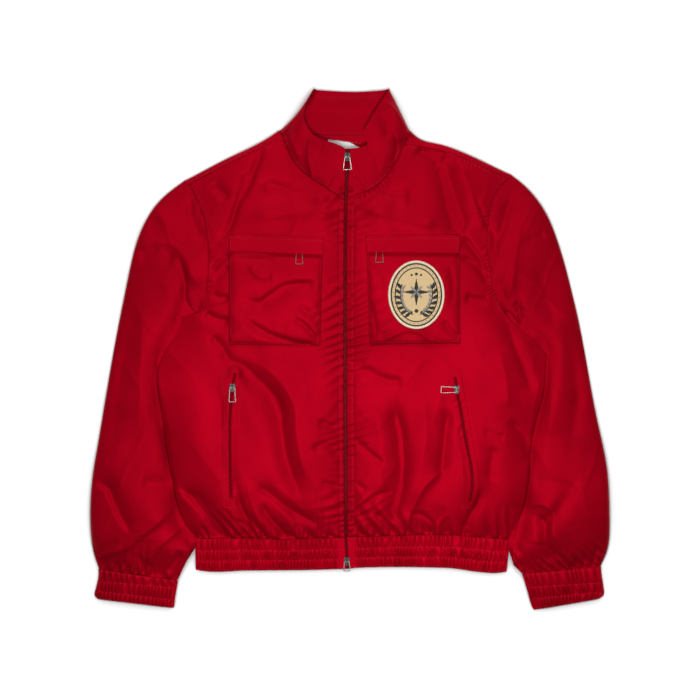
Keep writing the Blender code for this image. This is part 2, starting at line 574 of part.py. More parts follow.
def add_hem_front(side, edges, material):
    """One front half of the hem band, gathered between stitched lines, with a plain end at the zip."""
    count, rows = 2 * HEM_WAVES + 3, 2 * CHANNELS + 1
    places = np.linspace(0, 1, count)
    sign = 1 if side == "right" else -1
    top = along(shifted(edges["hem"], sign * -SEAM_GAP), places)
    bottom = smooth(HEM_EDGE[side], places)
    v = np.linspace(0, 1, rows)[:, None, None]
    grid = (1 - v) * top[None] + v * bottom[None]
    wave = np.where(np.arange(count) % 2 == 0, -1.0, 1.0)
    broad = np.interp(np.arange(count) % 4, [0, 1, 2, 3], [-1.0, 0.4, 1.0, 0.2])
    plain = ramp((places - 0.045) / 0.03) * ramp((1 - places) / 0.02)
    for k in range(rows):
        crest = k % 2
        size = (HEM_WAVE if crest else 0.5 * HEM_WAVE) if 0 < k < rows - 1 else 0.35
        grid[k, :, 2] += plain * (size * (broad if k == 1 else wave) + (0.8 if crest else -0.3))
    base = (1 - v[..., 0]) * top[None, :, 2] + v[..., 0] * bottom[None, :, 2]
    depth = 1.3 + 1.9 * plain
    floor = np.maximum(base - depth, CLOTH + 1.5 + 2 * SEAM_GAP)
    floor = np.minimum(floor, grid[..., 2] - 1.0)
    inward = np.zeros(grid.shape)
    inward[..., 2] = floor - grid[..., 2]
    wall(f"hem_band_{side}", grid, inward, cells(rows, count), material)


def add_hem_back(edges, material):
    """The back of the hem band, flat on the surface."""
    seam = np.concatenate([edges["right"]["hem"][::-1], edges["left"]["hem"]])
    top = along(seam, np.linspace(0, 1, 24))
    top[:, 1] -= SEAM_GAP
    edge = np.concatenate([evenly(HEM_EDGE["right"], 12)[::-1], evenly(HEM_EDGE["left"], 12)])
    grid = np.array([top, (top + edge) / 2, edge])
    grid[..., 2] = HEM_BACK_WALL
    sheet("hem_band_back", grid, HEM_BACK_WALL, material)


def collar_columns(edges):
    """The collar's lines from neck seam to top edge, from the right end of the zip round to the left one."""
    lines, inward = [], []
    for side in ("right", "left"):
        sign = 1 if side == "right" else -1
        bottom = shifted(edges[side]["neck"], sign * SEAM_GAP)
        top = evenly(COLLAR_TOP[side], NECK_COLUMNS)
        middle = (bottom + top) / 2
        middle[:, 2] += 3 * np.minimum(1, np.arange(NECK_COLUMNS) / 2)
        half = [tuple(np.concatenate(line)) for line in zip(bottom, middle, top)] + COLLAR_FOLD[side]
        level = np.append(np.array(COLLAR_INWARD[side]), 0)
        down = [(0, 0, -1.0)] * NECK_COLUMNS + [0.5 * level - (0, 0, 0.87), level, 0.5 * level + (0, 0, 0.87)]
        lines.append(half)
        inward.append(down)
    bottom = shifted(evenly(BACK_NECK, 10), -SEAM_GAP)[2:-2]
    top = evenly(COLLAR_BACK_TOP, len(bottom))
    middle = (bottom + top) / 2 - (0, 0, 1.2)
    back = [tuple(np.concatenate(line)) for line in zip(bottom, middle, top)]
    rows = lines[0] + back + lines[1][::-1]
    return np.array(rows), np.array(inward[0] + [(0, 0, 1.0)] * len(back) + inward[1][::-1])


def add_collar(edges, material):
    lines, inward = collar_columns(edges)
    bottom, middle, top = lines[:, :3], lines[:, 3:6], lines[:, 6:]
    rows = []
    for w in np.linspace(0, 1, 7):
        rows.append((1 - w) * (1 - 2 * w) * bottom + 4 * w * (1 - w) * middle + w * (2 * w - 1) * top)
    grid = np.array(rows)
    grid[..., 2] = np.maximum(grid[..., 2], 0)
    moved = np.broadcast_to(COLLAR_WALL * inward, grid.shape)
    wall("collar", grid, moved, cells(*grid.shape[:2]), material)


def quad_grid(corners, rows, columns):
    """A flat grid between four corners, given top left, top right, bottom right, bottom left."""
    tl, tr, br, bl = (np.array(c, float) for c in corners)
    v = np.asarray(rows)[:, None, None]
    u = np.asarray(columns)[None, :, None]
    return (1 - v) * ((1 - u) * tl + u * tr) + v * ((1 - u) * bl + u * br)


def add_pocket(side, front, material):
    """A bellows pocket: its edges lie on the front, and its face stands off it."""
    u = np.concatenate([[0, 0.02], np.linspace(0.07, 0.93, 8), [0.98, 1]])
    v = np.concatenate([[0, 0.05], np.linspace(0.14, 0.9, 7), [0.98, 1]])
    flat = quad_grid(POCKET[side], v, u)
    across = np.minimum(1, np.minimum(u, 1 - u) / 0.05)[None, :] ** 0.6
    down = np.minimum(1, v / 0.3)[:, None] * np.minimum(1, (1 - v) / 0.04)[:, None] ** 0.6
    bulge = 1.5 * np.sin(math.pi * u)[None, :] * np.sin(math.pi * v)[:, None]
    lift = (POCKET_DEPTH + bulge) * across * down
    grid = np.dstack([flat, front.heights(flat) + 2 * SEAM_GAP + CLOTH + lift])
    sheet(f"pocket_{side}", grid, CLOTH, material)
    return grid


def add_flap(side, front, material):
    u, v = np.linspace(0, 1, 10), np.linspace(0, 1, 5)
    flat = quad_grid(FLAP[side], v, u)
    lift = 2 * SEAM_GAP + FLAP_LIFT * v[:, None] ** 0.8 * np.ones(len(u))[None, :]
    grid = np.dstack([flat, front.heights(flat) + lift + CLOTH])
    sheet(f"flap_{side}", grid, CLOTH, material)


def add_patch(pocket, material):
    """An oval felt patch laid on the left pocket."""
    around, rings = 28, (0.0, 0.4, 0.8, 1.0)
    angle = np.linspace(0, 2 * math.pi, around, endpoint=False)
    flat = [np.array([PATCH_CENTRE], float)]
    for r in rings[1:]:
        half_size = r * np.array(PATCH_SIZE) / 2
        flat.append(PATCH_CENTRE + half_size * np.column_stack([np.cos(angle), np.sin(angle)]))
    flat = np.concatenate(flat)
    points = np.column_stack([flat, pocket.heights(flat) + PATCH_LIFT + PATCH_WALL])
    faces = [(0, 1 + (j + 1) % around, 1 + j) for j in range(around)]
    faces += [tuple(1 + k for k in face) for face in cells(len(rings) - 1, around, around=True)]
    wall("patch", points, np.tile((0, 0, -PATCH_WALL), (len(points), 1)), faces, material)


def add_strip(name, line, edges, thickness, surface, material):
    """A narrow strip along a line on a surface, between two distances to the right of the line."""
    middle = smooth(line, np.linspace(0, 1, 20))
    middle = np.column_stack([middle, np.zeros(len(middle))])
    flat = np.array([shifted(middle, distance)[:, :2] for distance in edges])
    grid = np.dstack([flat, surface.heights(flat) + STRIP_LIFT + thickness])
    sheet(name, grid, thickness, material)


def add_main_zip(material):
    """The closed chain between its two tapes, which lie under the edges of the fronts."""
    line = evenly(ZIP_LINE, 26)
    profile = [(-TAPE_HALF, -3.1), (-TAPE_HALF, -2), (-CHAIN_HALF, -2), (-CHAIN_HALF, -0.3),
               (CHAIN_HALF, -0.3), (CHAIN_HALF, -2), (TAPE_HALF, -2), (TAPE_HALF, -3.1)]
    rings = np.array([[(x + a, y, z + b) for a, b in profile] for x, y, z in line])
    count = len(profile)
    faces = cells(len(line), count, around=True)
    caps = [(0, 1, 2), (0, 2, 5), (2, 3, 4), (2, 4, 5), (0, 5, 7), (5, 6, 7)]
    last = (len(line) - 1) * count
    faces += [(c, b, a) for a, b, c in caps] + [(last + a, last + b, last + c) for a, b, c in caps]
    add_mesh("main_zip", rings.reshape(-1, 3), faces, material)


# ---- hard pieces ----


def prism(name, outline, low, high, material, axis="z"):
    """An outline drawn out between two levels, along z or along x."""
    count = len(outline)
    if axis == "z":
        points = [(a, b, low) for a, b in outline] + [(a, b, high) for a, b in outline]
    else:
        points = [(low, a, b) for a, b in outline] + [(high, a, b) for a, b in outline]
    faces = [tuple(range(count)), tuple(range(2 * count - 1, count - 1, -1))]
    faces += [(k, k + count, (k + 1) % count + count, (k + 1) % count) for k in range(count)]
    mesh = bpy.data.meshes.new(name)
    mesh.from_pydata([tuple(MM * c for c in p) for p in points], [], faces)
    mesh.materials.append(material)
    obj = bpy.data.objects.new(name, mesh)
    bpy.context.collection.objects.link(obj)
    return obj


def turned_out(obj):
    mesh = obj.data
    mesh.calc_loop_triangles()
    corners = np.array([[mesh.vertices[k].co for k in t.vertices] for t in mesh.loop_triangles])
    if np.linalg.det(corners).sum() < 0:
        mesh.flip_normals()
    return obj


def add_slider(name, place, turn, scale, material):
    """A slider: a shield-shaped body with wings at its upper end, and an arched bridge over it."""
    half, width, top = SLIDER_LENGTH / 2, SLIDER_WIDTH / 2, SLIDER_PLATE
    shield = [(-0.55 * width, -half), (0.55 * width, -half), (0.8 * width, -0.2 * half), (width, 0.55 * half),
              (0.75 * width, half), (0.25 * width, half), (0, 0.72 * half), (-0.25 * width, half),
              (-0.75 * width, half), (-width, 0.55 * half), (-0.8 * width, -0.2 * half)]
    bridge = [(-3.9, top - 0.5), (-3.9, top + 1.3), (-2.9, top + 2.9), (2.4, top + 2.9), (3.4, top + 1.6),
              (3.4, top - 0.5), (2.4, top - 0.5), (2.4, top + 1.2), (1.8, top + 2.1), (-2.4, top + 2.1),
              (-2.9, top + 1.2), (-2.9, top - 0.5)]
    body = turned_out(prism(name, shield, 0, top, material))
    arch = turned_out(prism(name + "_bridge", bridge, -1.1, 1.1, material, axis="x"))
    join = body.modifiers.new("bridge", "BOOLEAN")
    join.operation, join.object = "UNION", arch
    body.matrix_world = place @ Matrix.Scale(scale, 4)
    arch.matrix_world = body.matrix_world @ Matrix.Rotation(math.radians(turn), 4, "Z")
    arch.hide_render = True
    arch.display_type = "WIRE"


def add_pull(name, place, reach, widths, wire, material):
    """A pull tab: a closed loop of wire, hung by its short end in the slider's bridge."""
    near, far = widths[0] / 2, widths[1] / 2
    corner = 0.9
    spots = [(-near + corner, 0), (near - corner, 0), (near, -corner), (far, -reach + corner),
             (far - corner, -reach), (-far + corner, -reach), (-far, -reach + corner), (-near, -corner)]
    curve = bpy.data.curves.new(name, "CURVE")
    curve.dimensions = "3D"
    curve.bevel_depth = wire / 2 * MM
    curve.bevel_resolution = 1
    spline = curve.splines.new("POLY")
    spline.points.add(len(spots) - 1)
    for point, (x, y) in zip(spline.points, spots):
        point.co = (x * MM, y * MM, 0, 1)
    spline.use_cyclic_u = True
    curve.materials.append(material)
    obj = bpy.data.objects.new(name, curve)
    bpy.context.collection.objects.link(obj)
    obj.matrix_world = place
    return obj


def standing(x, y, z, tip):
    """A place on the jacket, tipped forward about x by an angle in degrees."""
    return Matrix.Translation(Vector((x, y, z)) * MM) @ Matrix.Rotation(math.radians(tip), 4, "X")


def rest_height(x, y, fronts):
    """The height of what a slider lies on: the zip's line, or the highest point of the front under it."""
    if abs(x) < 10:
        return float(zip_at(np.array([y]))[0, 2])
    front = fronts["right" if x < 0 else "left"]
    return max(front.height(x + a, y + b) for a in (-5, 0, 5) for b in (-6, -3, 0, 3, 6))


def add_zip_pulls(fronts, metal, dark):
    """Each slider and its pull tab. The pull tab's wire turns inside the bridge."""
    for ending, x, y, lift, tip, turn, fall, reach, near, far, scale in SLIDERS:
        place = standing(x, y, rest_height(x, y, fronts) + lift, tip)
        bar = (SLIDER_PLATE + 1.15) * scale
        hinge = place @ Matrix.Translation((0, 0, bar * MM)) @ Matrix.Rotation(math.radians(turn), 4, "Z")
        hinge = hinge @ Matrix.Rotation(math.radians(fall - tip), 4, "X")
        add_slider(f"slider_{ending}", place, turn, scale, dark)
        add_pull(f"pull_{ending}", hinge, reach, (near, far), WIRE * min(1, scale + 0.15), metal)


def main():
    clear_scene()
    nylon = finish("red_nylon", RED, 0.42)
    elastic = finish("red_shirred_nylon", RED, 0.5)
    tape = finish("red_zip_tape", (0.2, 0.004, 0.01), 0.6)
    metal = finish("nickel_wire", METAL, 0.3, 1.0)
    dark = finish("gunmetal_slider", (0.12, 0.11, 0.11), 0.35, 1.0)
    felt = finish("cream_felt", (0.72, 0.6, 0.42), 0.9)
    woven = finish("white_woven_label", (0.85, 0.82, 0.8), 0.8)

    edges = {side: shared_edges(side) for side in ("right", "left")}
    grids = {side: front_grid(side, edges[side]) for side in edges}
    fronts = {side: Surface(grid) for side, grid in grids.items()}
    pockets = {}
    for side, grid in grids.items():
        sheet(f"front_{side}", grid, CLOTH, nylon)
    back = add_back(edges, nylon)
    for side in edges:
        add_sleeve(side, edges, back, nylon)
        add_cuff(side, elastic)
        add_hem_front(side, edges[side], elastic)
        pockets[side] = Surface(add_pocket(side, fronts[side], nylon))
        add_flap(side, fronts[side], nylon)
        chain = (SIDE_CHAIN_WIDTH / 2, -SIDE_CHAIN_WIDTH / 2)
        welt = (chain[1] - SEAM_GAP, chain[1] - SIDE_WELT_WIDTH)
        add_strip(f"side_zip_{side}", SIDE_ZIP[side], chain, SIDE_CHAIN_WALL, fronts[side], tape)
        add_strip(f"side_welt_{side}", SIDE_ZIP[side], welt, SIDE_WELT_WALL, fronts[side], nylon)
    add_hem_back(edges, elastic)
    add_collar(edges, nylon)
    add_main_zip(tape)
    add_patch(pockets["left"], felt)
    label = quad_grid(LABEL, (0, 0.5, 1), (0, 0.5, 1))
    level = np.full(label.shape[:2], CLOTH + 2 * SEAM_GAP + LABEL_WALL)
    sheet("neck_label", np.dstack([label, level]), LABEL_WALL, woven)
    add_zip_pulls(fronts, metal, dark)


main()
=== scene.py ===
"""A red nylon cargo jacket laid flat: cloth with its creases, shirring, stitching, zips and a felt patch.

Lengths in the tables are millimetres. A place read from straight above is given as (across, down) in steps
of 1.5 mm from the top left corner of a square of 1.05 m, and at() turns it into millimetres on the jacket.
"""

import json
import math
from functools import cache

import bmesh
import bpy
import numpy as np
from bpy.props import FloatProperty, FloatVectorProperty, PointerProperty, StringProperty
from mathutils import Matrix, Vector
from mathutils.bvhtree import BVHTree

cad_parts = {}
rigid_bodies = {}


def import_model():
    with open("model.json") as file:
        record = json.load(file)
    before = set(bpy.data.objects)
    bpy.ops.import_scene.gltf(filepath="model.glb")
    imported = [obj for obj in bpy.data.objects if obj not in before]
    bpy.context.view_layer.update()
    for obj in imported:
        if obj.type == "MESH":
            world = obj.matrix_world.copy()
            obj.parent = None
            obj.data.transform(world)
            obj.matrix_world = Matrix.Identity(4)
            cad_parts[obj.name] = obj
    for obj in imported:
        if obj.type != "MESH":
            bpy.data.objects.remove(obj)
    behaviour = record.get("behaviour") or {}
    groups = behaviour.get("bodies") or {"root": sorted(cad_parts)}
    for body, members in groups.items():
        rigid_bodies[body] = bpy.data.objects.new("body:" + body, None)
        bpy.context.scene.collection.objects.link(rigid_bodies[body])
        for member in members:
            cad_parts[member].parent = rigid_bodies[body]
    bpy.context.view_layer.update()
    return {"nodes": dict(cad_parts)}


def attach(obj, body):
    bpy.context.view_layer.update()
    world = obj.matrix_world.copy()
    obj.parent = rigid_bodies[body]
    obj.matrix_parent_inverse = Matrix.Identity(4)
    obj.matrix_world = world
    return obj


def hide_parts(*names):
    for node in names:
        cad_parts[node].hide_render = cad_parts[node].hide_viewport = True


bl_info = {
    "name": "Nylon jacket laid flat",
    "version": (1, 0, 0),
    "blender": (4, 5, 0),
    "location": "3D View > Sidebar > Jacket",
    "description": "Dresses the packed jacket in creased nylon, shirring, stitching and zips",
    "category": "Object",
}

for left_over in list(bpy.data.objects):
    bpy.data.objects.remove(left_over)
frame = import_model()

GARMENT = "garment"
SIDES = ("right", "left")  # the wearer's
DOWN = Vector((0, 0, -1))
MM = 0.001
STEP = 1.5  # millimetres in one step of a place read from above
MIDDLE = 349.5  # steps to the middle, across and down
HIGH = 100.0  # a height above all of the jacket

# ---- where things are, read from straight above: (across, down) ----
ZIP_EDGE = [(346, 191), (345.5, 223), (345.2, 276), (345.2, 411), (345.7, 465), (346, 519), (346.5, 539)]
SHOULDER_SEAMS = [[(285, 140), (260, 148), (205, 176), (189, 184.5)],
                  [(411, 146), (434.6, 149), (445, 151.5), (495, 173), (506, 177)]]
ARMHOLES = [
    [(189, 184), (196, 196), (203, 212), (207, 232), (209, 251), (208, 276), (205, 298), (199, 313)],
    [(508, 178), (501, 185), (492, 201), (488, 221), (487, 241), (490, 268), (494.5, 294), (503, 311)],
]
HEM_LINE = [(196, 539), (245, 537.5), (288, 538), (340, 537), (370, 536), (403, 535), (438, 534), (472, 536),
            (510, 540)]
CUFF_LINES = [[(98, 569), (128, 572.5), (157, 576), (176.5, 581)],
              [(521, 573), (535, 577), (556, 572), (575, 569), (601.5, 566)]]
SIDE_ZIPS = [[(235.5, 372.8), (232.8, 389.5), (230.8, 410.8), (230.5, 442.8), (230.8, 476), (231.5, 496.8)],
             [(454.2, 376.8), (458.2, 399.5), (465.2, 440.2), (471.2, 472.8), (471.5, 486.2), (468.8, 500.2)]]
TAB_SPOTS = {"right": (299.5, 248), "left": (379, 247)}  # where a chest tab comes out below its flap
PULL_SPOTS = [(347.4, 157.5), (347, 561), (233, 387), (456, 389.5), *TAB_SPOTS.values()]

# Creases: their line, the width of their slope on the left and on the right of the way the line runs (mm),
# and their height (mm; a trough is negative). Ridges are crisp and troughs are soft.
CREASES = [
    # right sleeve, at the viewer's left
    ([(146, 206), (160, 216), (173, 242), (183, 256), (194, 277), (198, 291)], 24, 11, 4.2),
    ([(180, 254), (184.5, 279), (186, 300), (190, 314)], 4, 6, -3.4),
    ([(134, 247), (156, 242), (175, 245)], 10, 5, 1.8),
    ([(136, 256), (158, 253), (176, 262)], 10, 16, -2.6),
    ([(191, 194), (193, 218), (205, 248)], 4, 6, -2.8),
    ([(199, 206), (201, 222), (204, 238)], 3, 3, -1.2),
    ([(92, 482), (106, 486), (115, 502), (123, 519), (132, 532)], 14, 4, -4.2),
    ([(140, 482), (158, 484), (178, 482)], 14, 12, -3.4),
    ([(178, 504), (166, 516), (145, 534), (130, 546), (112, 554), (92, 561)], 4, 24, 4.4),
    ([(185, 527), (170, 539), (156, 551), (146, 565)], 3.5, 12, 2.8),
    ([(182, 550), (173, 561), (167, 573)], 6, 3, -2.6),
    ([(121, 540), (111, 544), (99, 554)], 5, 4, -1.5),
    ([(138, 552), (141, 562), (144, 572)], 3, 3, -2.2),
    ([(125, 560), (127, 573)], 3, 3, -2.0),
    ([(116, 561), (118, 573)], 3, 2.5, -1.8),
    ([(107, 566), (107, 574)], 2.5, 2, -1.4),
    ([(152, 563), (150, 576)], 3, 3, -1.8),
    ([(128, 330), (118, 400), (112, 450)], 18, 14, -2.6),
    ([(140, 300), (142, 360), (138, 430)], 16, 16, 2.0),
    # left sleeve, at the viewer's right
    ([(532, 205), (517.5, 239), (514, 262), (511, 284), (505, 304)], 9, 12, 3.6),
    ([(514, 192), (507.5, 213), (499, 238), (493, 262)], 5, 7, -2.8),
    ([(492, 220), (495, 248)], 3, 4, -2.2),
    ([(527, 240), (546, 236)], 5, 4, -1.8),
    ([(535, 262), (548, 300), (556, 330)], 16, 10, -2.2),
    ([(495, 299), (507.5, 317), (527, 334), (541, 343)], 8, 5, 2.8),
    ([(514, 303), (520, 311)], 5, 5, -2.0),
    ([(549, 345), (551, 400), (548, 440)], 13, 13, 2.4),
    ([(568, 340), (577, 395), (572, 445)], 13, 13, -3.2),
    ([(529, 480), (552, 484), (578, 490)], 14, 12, -2.6),
    ([(524, 505), (546, 506), (552, 513), (550, 527), (560, 546), (574, 567)], 20, 6, 6.5),
    ([(532, 514), (543, 521), (545, 540), (556, 562)], 5, 9, -5.0),
    ([(510.5, 541), (522.5, 556), (532, 576)], 5, 6, -3.2),
    ([(510.5, 550), (517, 562), (524, 573)], 4, 4, -2.6),
    ([(597, 545), (592, 566)], 4, 3, -2.0),
    ([(583, 553), (584, 569)], 3, 3, -1.6),
    ([(576, 560), (577, 570)], 3, 3, -1.4),
    # body, lower half at the viewer's left
    ([(219, 343), (228, 358), (249, 373), (269, 390), (280, 411), (283, 433), (287, 456), (293, 477),
      (302, 499)], 9, 15, -5.4),
    ([(238, 352), (262, 366), (282, 383), (294, 404), (298, 440), (306, 480)], 14, 10, 2.4),
    ([(157, 350), (160, 385), (169, 425), (174, 468), (186, 512)], 26, 20, 5.0),
    ([(543, 355), (538, 385), (531, 425), (527, 470), (521, 512)], 20, 26, 4.0),
    ([(224, 395), (222, 440), (226, 480)], 8, 10, -1.8),
    ([(178, 485), (193, 498), (206, 512), (216, 528), (231, 538)], 15, 5, -5.4),
    ([(232, 470), (236, 489), (242.6, 507.5), (249, 522), (258, 537)], 5, 6, -3.8),
    ([(246, 480), (254, 505), (264, 530)], 8, 8, 1.8),
    ([(256, 485), (271, 494), (289, 509), (304, 517), (320, 525)], 9, 5, -4.2),
    ([(260, 501), (269, 516), (281, 529), (288, 538)], 5, 5, -3.2),
    ([(319.7, 496), (319.7, 524), (323, 541)], 9, 2, 1.8),
    ([(202, 525), (209, 538)], 3, 4, -2.2),
    ([(236, 518), (244, 525), (244, 538)], 3, 3, -2.0),
    ([(296, 524), (301, 538)], 4, 3, -1.8),
    ([(318, 421), (329, 424), (341, 431)], 4, 6, -2.6),
    ([(311, 449), (322, 444), (341, 454)], 5, 6, -2.8),
    ([(321, 482), (331, 484), (341, 488)], 4, 6, -2.2),
    # body, lower half at the viewer's right
    ([(393, 396), (400, 437), (403, 468), (398, 497), (392, 527)], 8, 12, -7.2),
    ([(424, 398), (425, 440), (420, 476)], 14, 14, 2.2),
    ([(374, 400), (381, 440), (378, 500)], 14, 14, 1.8),
    ([(450, 464), (424, 486), (413, 506), (405, 533)], 6, 16, 3.8),
    ([(447, 405), (443, 450), (440, 480)], 9, 7, -4.2),
    ([(408, 512), (423, 515), (431, 522), (431, 536)], 4, 3, -3.2),
    ([(450, 513), (443, 518), (436, 530)], 4, 3, 1.6),
    ([(482, 488), (473, 506), (462, 530)], 7, 5, -3.4),
    ([(492.6, 444), (491, 462), (490, 482)], 9, 9, -2.8),
    ([(482, 432), (492, 434), (504, 437)], 6, 5, -1.8),
    ([(508, 418), (524, 438), (532, 465)], 6, 9, -3.8),
    ([(505, 320), (514, 345), (524, 370), (533, 394)], 8, 8, -3.4),
    ([(497, 345), (506, 385), (507, 410)], 14, 10, 1.8),
    ([(353, 366), (372, 373), (384, 379), (406, 382)], 6, 9, -2.4),
    ([(353, 437), (367, 450), (384, 464)], 4, 5, -2.4),
    ([(354, 482), (367, 490)], 4, 4, -1.8),
    ([(362, 506), (377, 494), (392, 490)], 5, 6, -2.0),
    ([(358, 514), (373, 513), (382, 519)], 4, 4, -2.4),
    # chest, at the viewer's left
    ([(264, 142), (256, 166), (249, 186), (237, 206), (229, 226), (216, 245)], 5, 5, -3.9),
    ([(211, 184), (220, 191), (229, 200)], 9, 7, -4.8),
    ([(250, 172), (243, 186), (238, 198)], 7, 7, -3.1),
    ([(255, 184), (280, 190), (306, 192), (330, 205)], 12, 14, -6.4),
    ([(250, 221), (290, 214), (338, 216)], 14, 12, 4.5),
    ([(211, 272), (221, 262), (231, 255)], 4, 4, -3.4),
    ([(213, 281), (222, 274), (231, 268)], 4, 4, -2.2),
    ([(211, 293), (221, 298), (230, 299)], 5, 5, -4.2),
    ([(203, 311), (216, 318), (230, 321)], 5, 7, -4.5),
    ([(211, 336), (222, 346), (229, 360)], 6, 8, -3.4),
    # chest, at the viewer's right
    ([(440, 156), (447, 182), (453, 206), (462, 236)], 12, 16, -8.7),
    ([(455, 156), (466, 180), (476, 206), (486, 232)], 9, 12, 3.6),
    ([(475, 196), (481, 212), (489, 231)], 4, 5, -3.4),
    ([(462, 236), (473, 249), (488, 275)], 4, 6, -4.2),
    ([(460, 255), (476, 266), (490, 284)], 4, 5, -4.2),
    ([(464, 297), (476, 300), (489, 301)], 6, 6, -3.6),
    ([(416, 146), (428, 153), (444, 163)], 12, 12, -5.0),
    ([(356, 207), (380, 214), (410, 221), (440, 229)], 14, 9, 4.8),
    ([(360, 190), (385, 195), (412, 199)], 12, 12, -3.6),
    # collar
    ([(311, 134), (309, 152), (313, 184)], 12, 3.5, 3.2),
    ([(297, 120), (293, 138), (299, 160)], 7, 9, 2.2),
    ([(316, 105), (345, 109), (376, 104)], 6, 9, 2.2),
    ([(322, 121), (346, 124), (366, 119)], 5, 8, 1.8),
    ([(372, 108), (384, 122), (388, 140)], 10, 8, -2.6),
    ([(394, 132), (396, 148), (394, 164)], 3, 4, -1.8),
    ([(400, 112), (404, 130), (404, 150)], 12, 9, -2.4),
    ([(384, 99), (399, 117), (411, 140)], 5, 20, 6.4),
]

POCKET_CREASES = [
    # right pocket, at the viewer's left
    ([(243, 318), (261, 329), (272, 335), (291, 341), (319, 346)], 4, 7, -3.4),
    ([(290, 315), (304, 324), (314, 335), (320, 345)], 3, 6, -2.6),
    ([(246, 300), (260, 304), (273, 296), (286, 288), (320, 283)], 5, 12, -4.6),
    ([(249, 266), (262, 278), (274, 278)], 10, 6, 3.0),
    ([(296, 305), (308, 313), (319, 319)], 6, 5, -2.2),
    ([(231, 259), (250, 258), (276, 260)], 4, 5, -1.5),
    ([(231, 300), (228, 328), (234, 343)], 4, 4, 1.4),
    # left pocket, at the viewer's right
    ([(379, 345), (389, 339), (400, 334), (412, 331), (420, 333), (427, 339), (440, 345)], 9, 3, 2.6),
    ([(377, 338), (392, 333), (410, 329)], 4, 4, -1.6),
    ([(443, 320), (450, 331), (460, 337)], 4, 6, -2.4),
    ([(368, 300), (374, 318), (376, 336)], 4, 6, -1.8),
    ([(447, 262), (453, 285), (450, 308)], 5, 6, -1.8),
    ([(366, 262), (376, 272), (384, 290)], 5, 5, -1.6),
]

# Puckers along seams. Columns: their line, spacing, reach on its left and right, height, slant
PUCKERS = [
    *[(line, 6.0, 9, 7, 0.7, 3.0) for line in SHOULDER_SEAMS],
    *[(line, 6.5, 9, 8, 0.75, 1.5) for line in ARMHOLES],
    (ZIP_EDGE, 15.5, 30, 24, 0.85, 2.5),
    (ZIP_EDGE, 9.5, 13, 16, 0.35, 1.0),
    *[(line, 8.0, 5, 9, 0.35, 3.0) for line in SIDE_ZIPS],
    ([(280, 130), (285, 144), (291, 159), (297, 167.5), (307, 175.5), (316, 183), (326, 187), (334, 194),
      (342.5, 200.5)], 7, 6, 6, 0.4, 0),
    ([(411, 131), (395, 163), (383, 181), (374, 187), (365, 193.4), (356, 194), (348, 199)], 7, 6, 6, 0.4, 0),
    ([(230.7, 236.5), (323.1, 240.5)], 7, 2.5, 2.5, 0.22, 2),
    ([(365.6, 238.3), (459.4, 237.4)], 7, 2.5, 2.5, 0.22, 2),
]
# The placket beside the zip: its width on each side, and its puckers
PLACKET = {"spacing": 7.6, "right": 8.5, "left": 12.0, "height": 0.6, "slant": 1.0}

# Folds that run out of the shirred bands. Columns: the band's seam, spacing, height, reach
GATHERS = [(HEM_LINE, 25.0, 3.4, 24), (HEM_LINE, 11.0, 1.7, 9)]
GATHERS += [(line, *fold) for line in CUFF_LINES for fold in ((17.0, 2.8, 20), (8.0, 1.3, 8))]
GATHER_END, GATHER_FADE = 60, 25  # no gather reaches further than the first, and the last stretch fades it

# Where an edge is drawn on below the piece that lies over it, so that no gap shows. Columns: the edge's line,
# how far the pull reaches, the shift across, up and in height, and the height under which cloth is moved
TUCKED = {
    "sleeve_right": [([(187, 311), (190, 314)], 20, (7, -5, 0), 7.5),
                     ([(184, 522), (189, 538)], 22, (10, 0, 0), 8),
                     (ARMHOLES[0], 6, (1.6, 0.4, -0.5), 40)],
    "sleeve_left": [([(508, 318), (512, 322)], 22, (-8, -6, 0), 7.5),
                    ([(515, 522), (511, 541)], 20, (-8, 0, 0), 8),
                    (ARMHOLES[1], 6, (-1.6, 0.4, -0.5), 40)],
    "collar": [([(280, 131), (284, 140)], 8, (-0.5, -2.0, -0.4), 40),
               ([(411, 130), (404, 142)], 8, (0.5, -2.0, -0.4), 40)],
}

# ---- how the relief behaves ----
STRAY, STRAY_SIZE = 1.6, 26  # how far a crease leaves its line, and the length of each bend
RUN_IN, RUN_OUT = 0.22, 0.16  # shares of a crease's length over which it rises and dies away
CREASE_END = 0.12  # the share of its height that a crease keeps at its ends
RIDGE_CRISPNESS, TROUGH_CRISPNESS = 1.1, 1.6  # powers of the slope's curve: 1 is a knife edge, 2 a soft hill
FURROW, FURROW_WIDTH = 0.45, 1.6  # the furrow that a seam's stitches pull
# Near the hardware the cloth lies flat: how far from it, and the distance over which the relief then grows
FLAT_AT_PULL, FLAT_AT_SIDE_ZIP, FLAT_AT_FRONT_ZIP = (11, 16), (4, 12), (4, 14)
LEFT_AT_ZIP = 0.15  # the share of the relief that is left right at the front zip
FRONT_ROOM = 6.0  # how far a trough may go down before a wall meets the one below it
SLEEVE_LOWEST = (4.6, 3.0)  # how low the outer and the inner side of a sleeve's upper wall may come
SLEEVE_FREE = (2.2, 7.0)  # a sleeve's edge is still up to the first height, and free the second above it
REST_FREE, REST_SINK = (0.8, 3.0), 0.5  # the same for a piece that lies on something, and how far it may sink
REST_SKIN = 0.9  # what is lower than this on such a piece is its underside
FOLLOWS = (0.15, 0.45)  # how level cloth has to be to follow the relief, and over what range it starts to
TAB_RISE, TAB_REACH = 0.8, 10  # how far a flap rises over the tab below it, and how wide


# ---- sizes and colours that a user would change ----


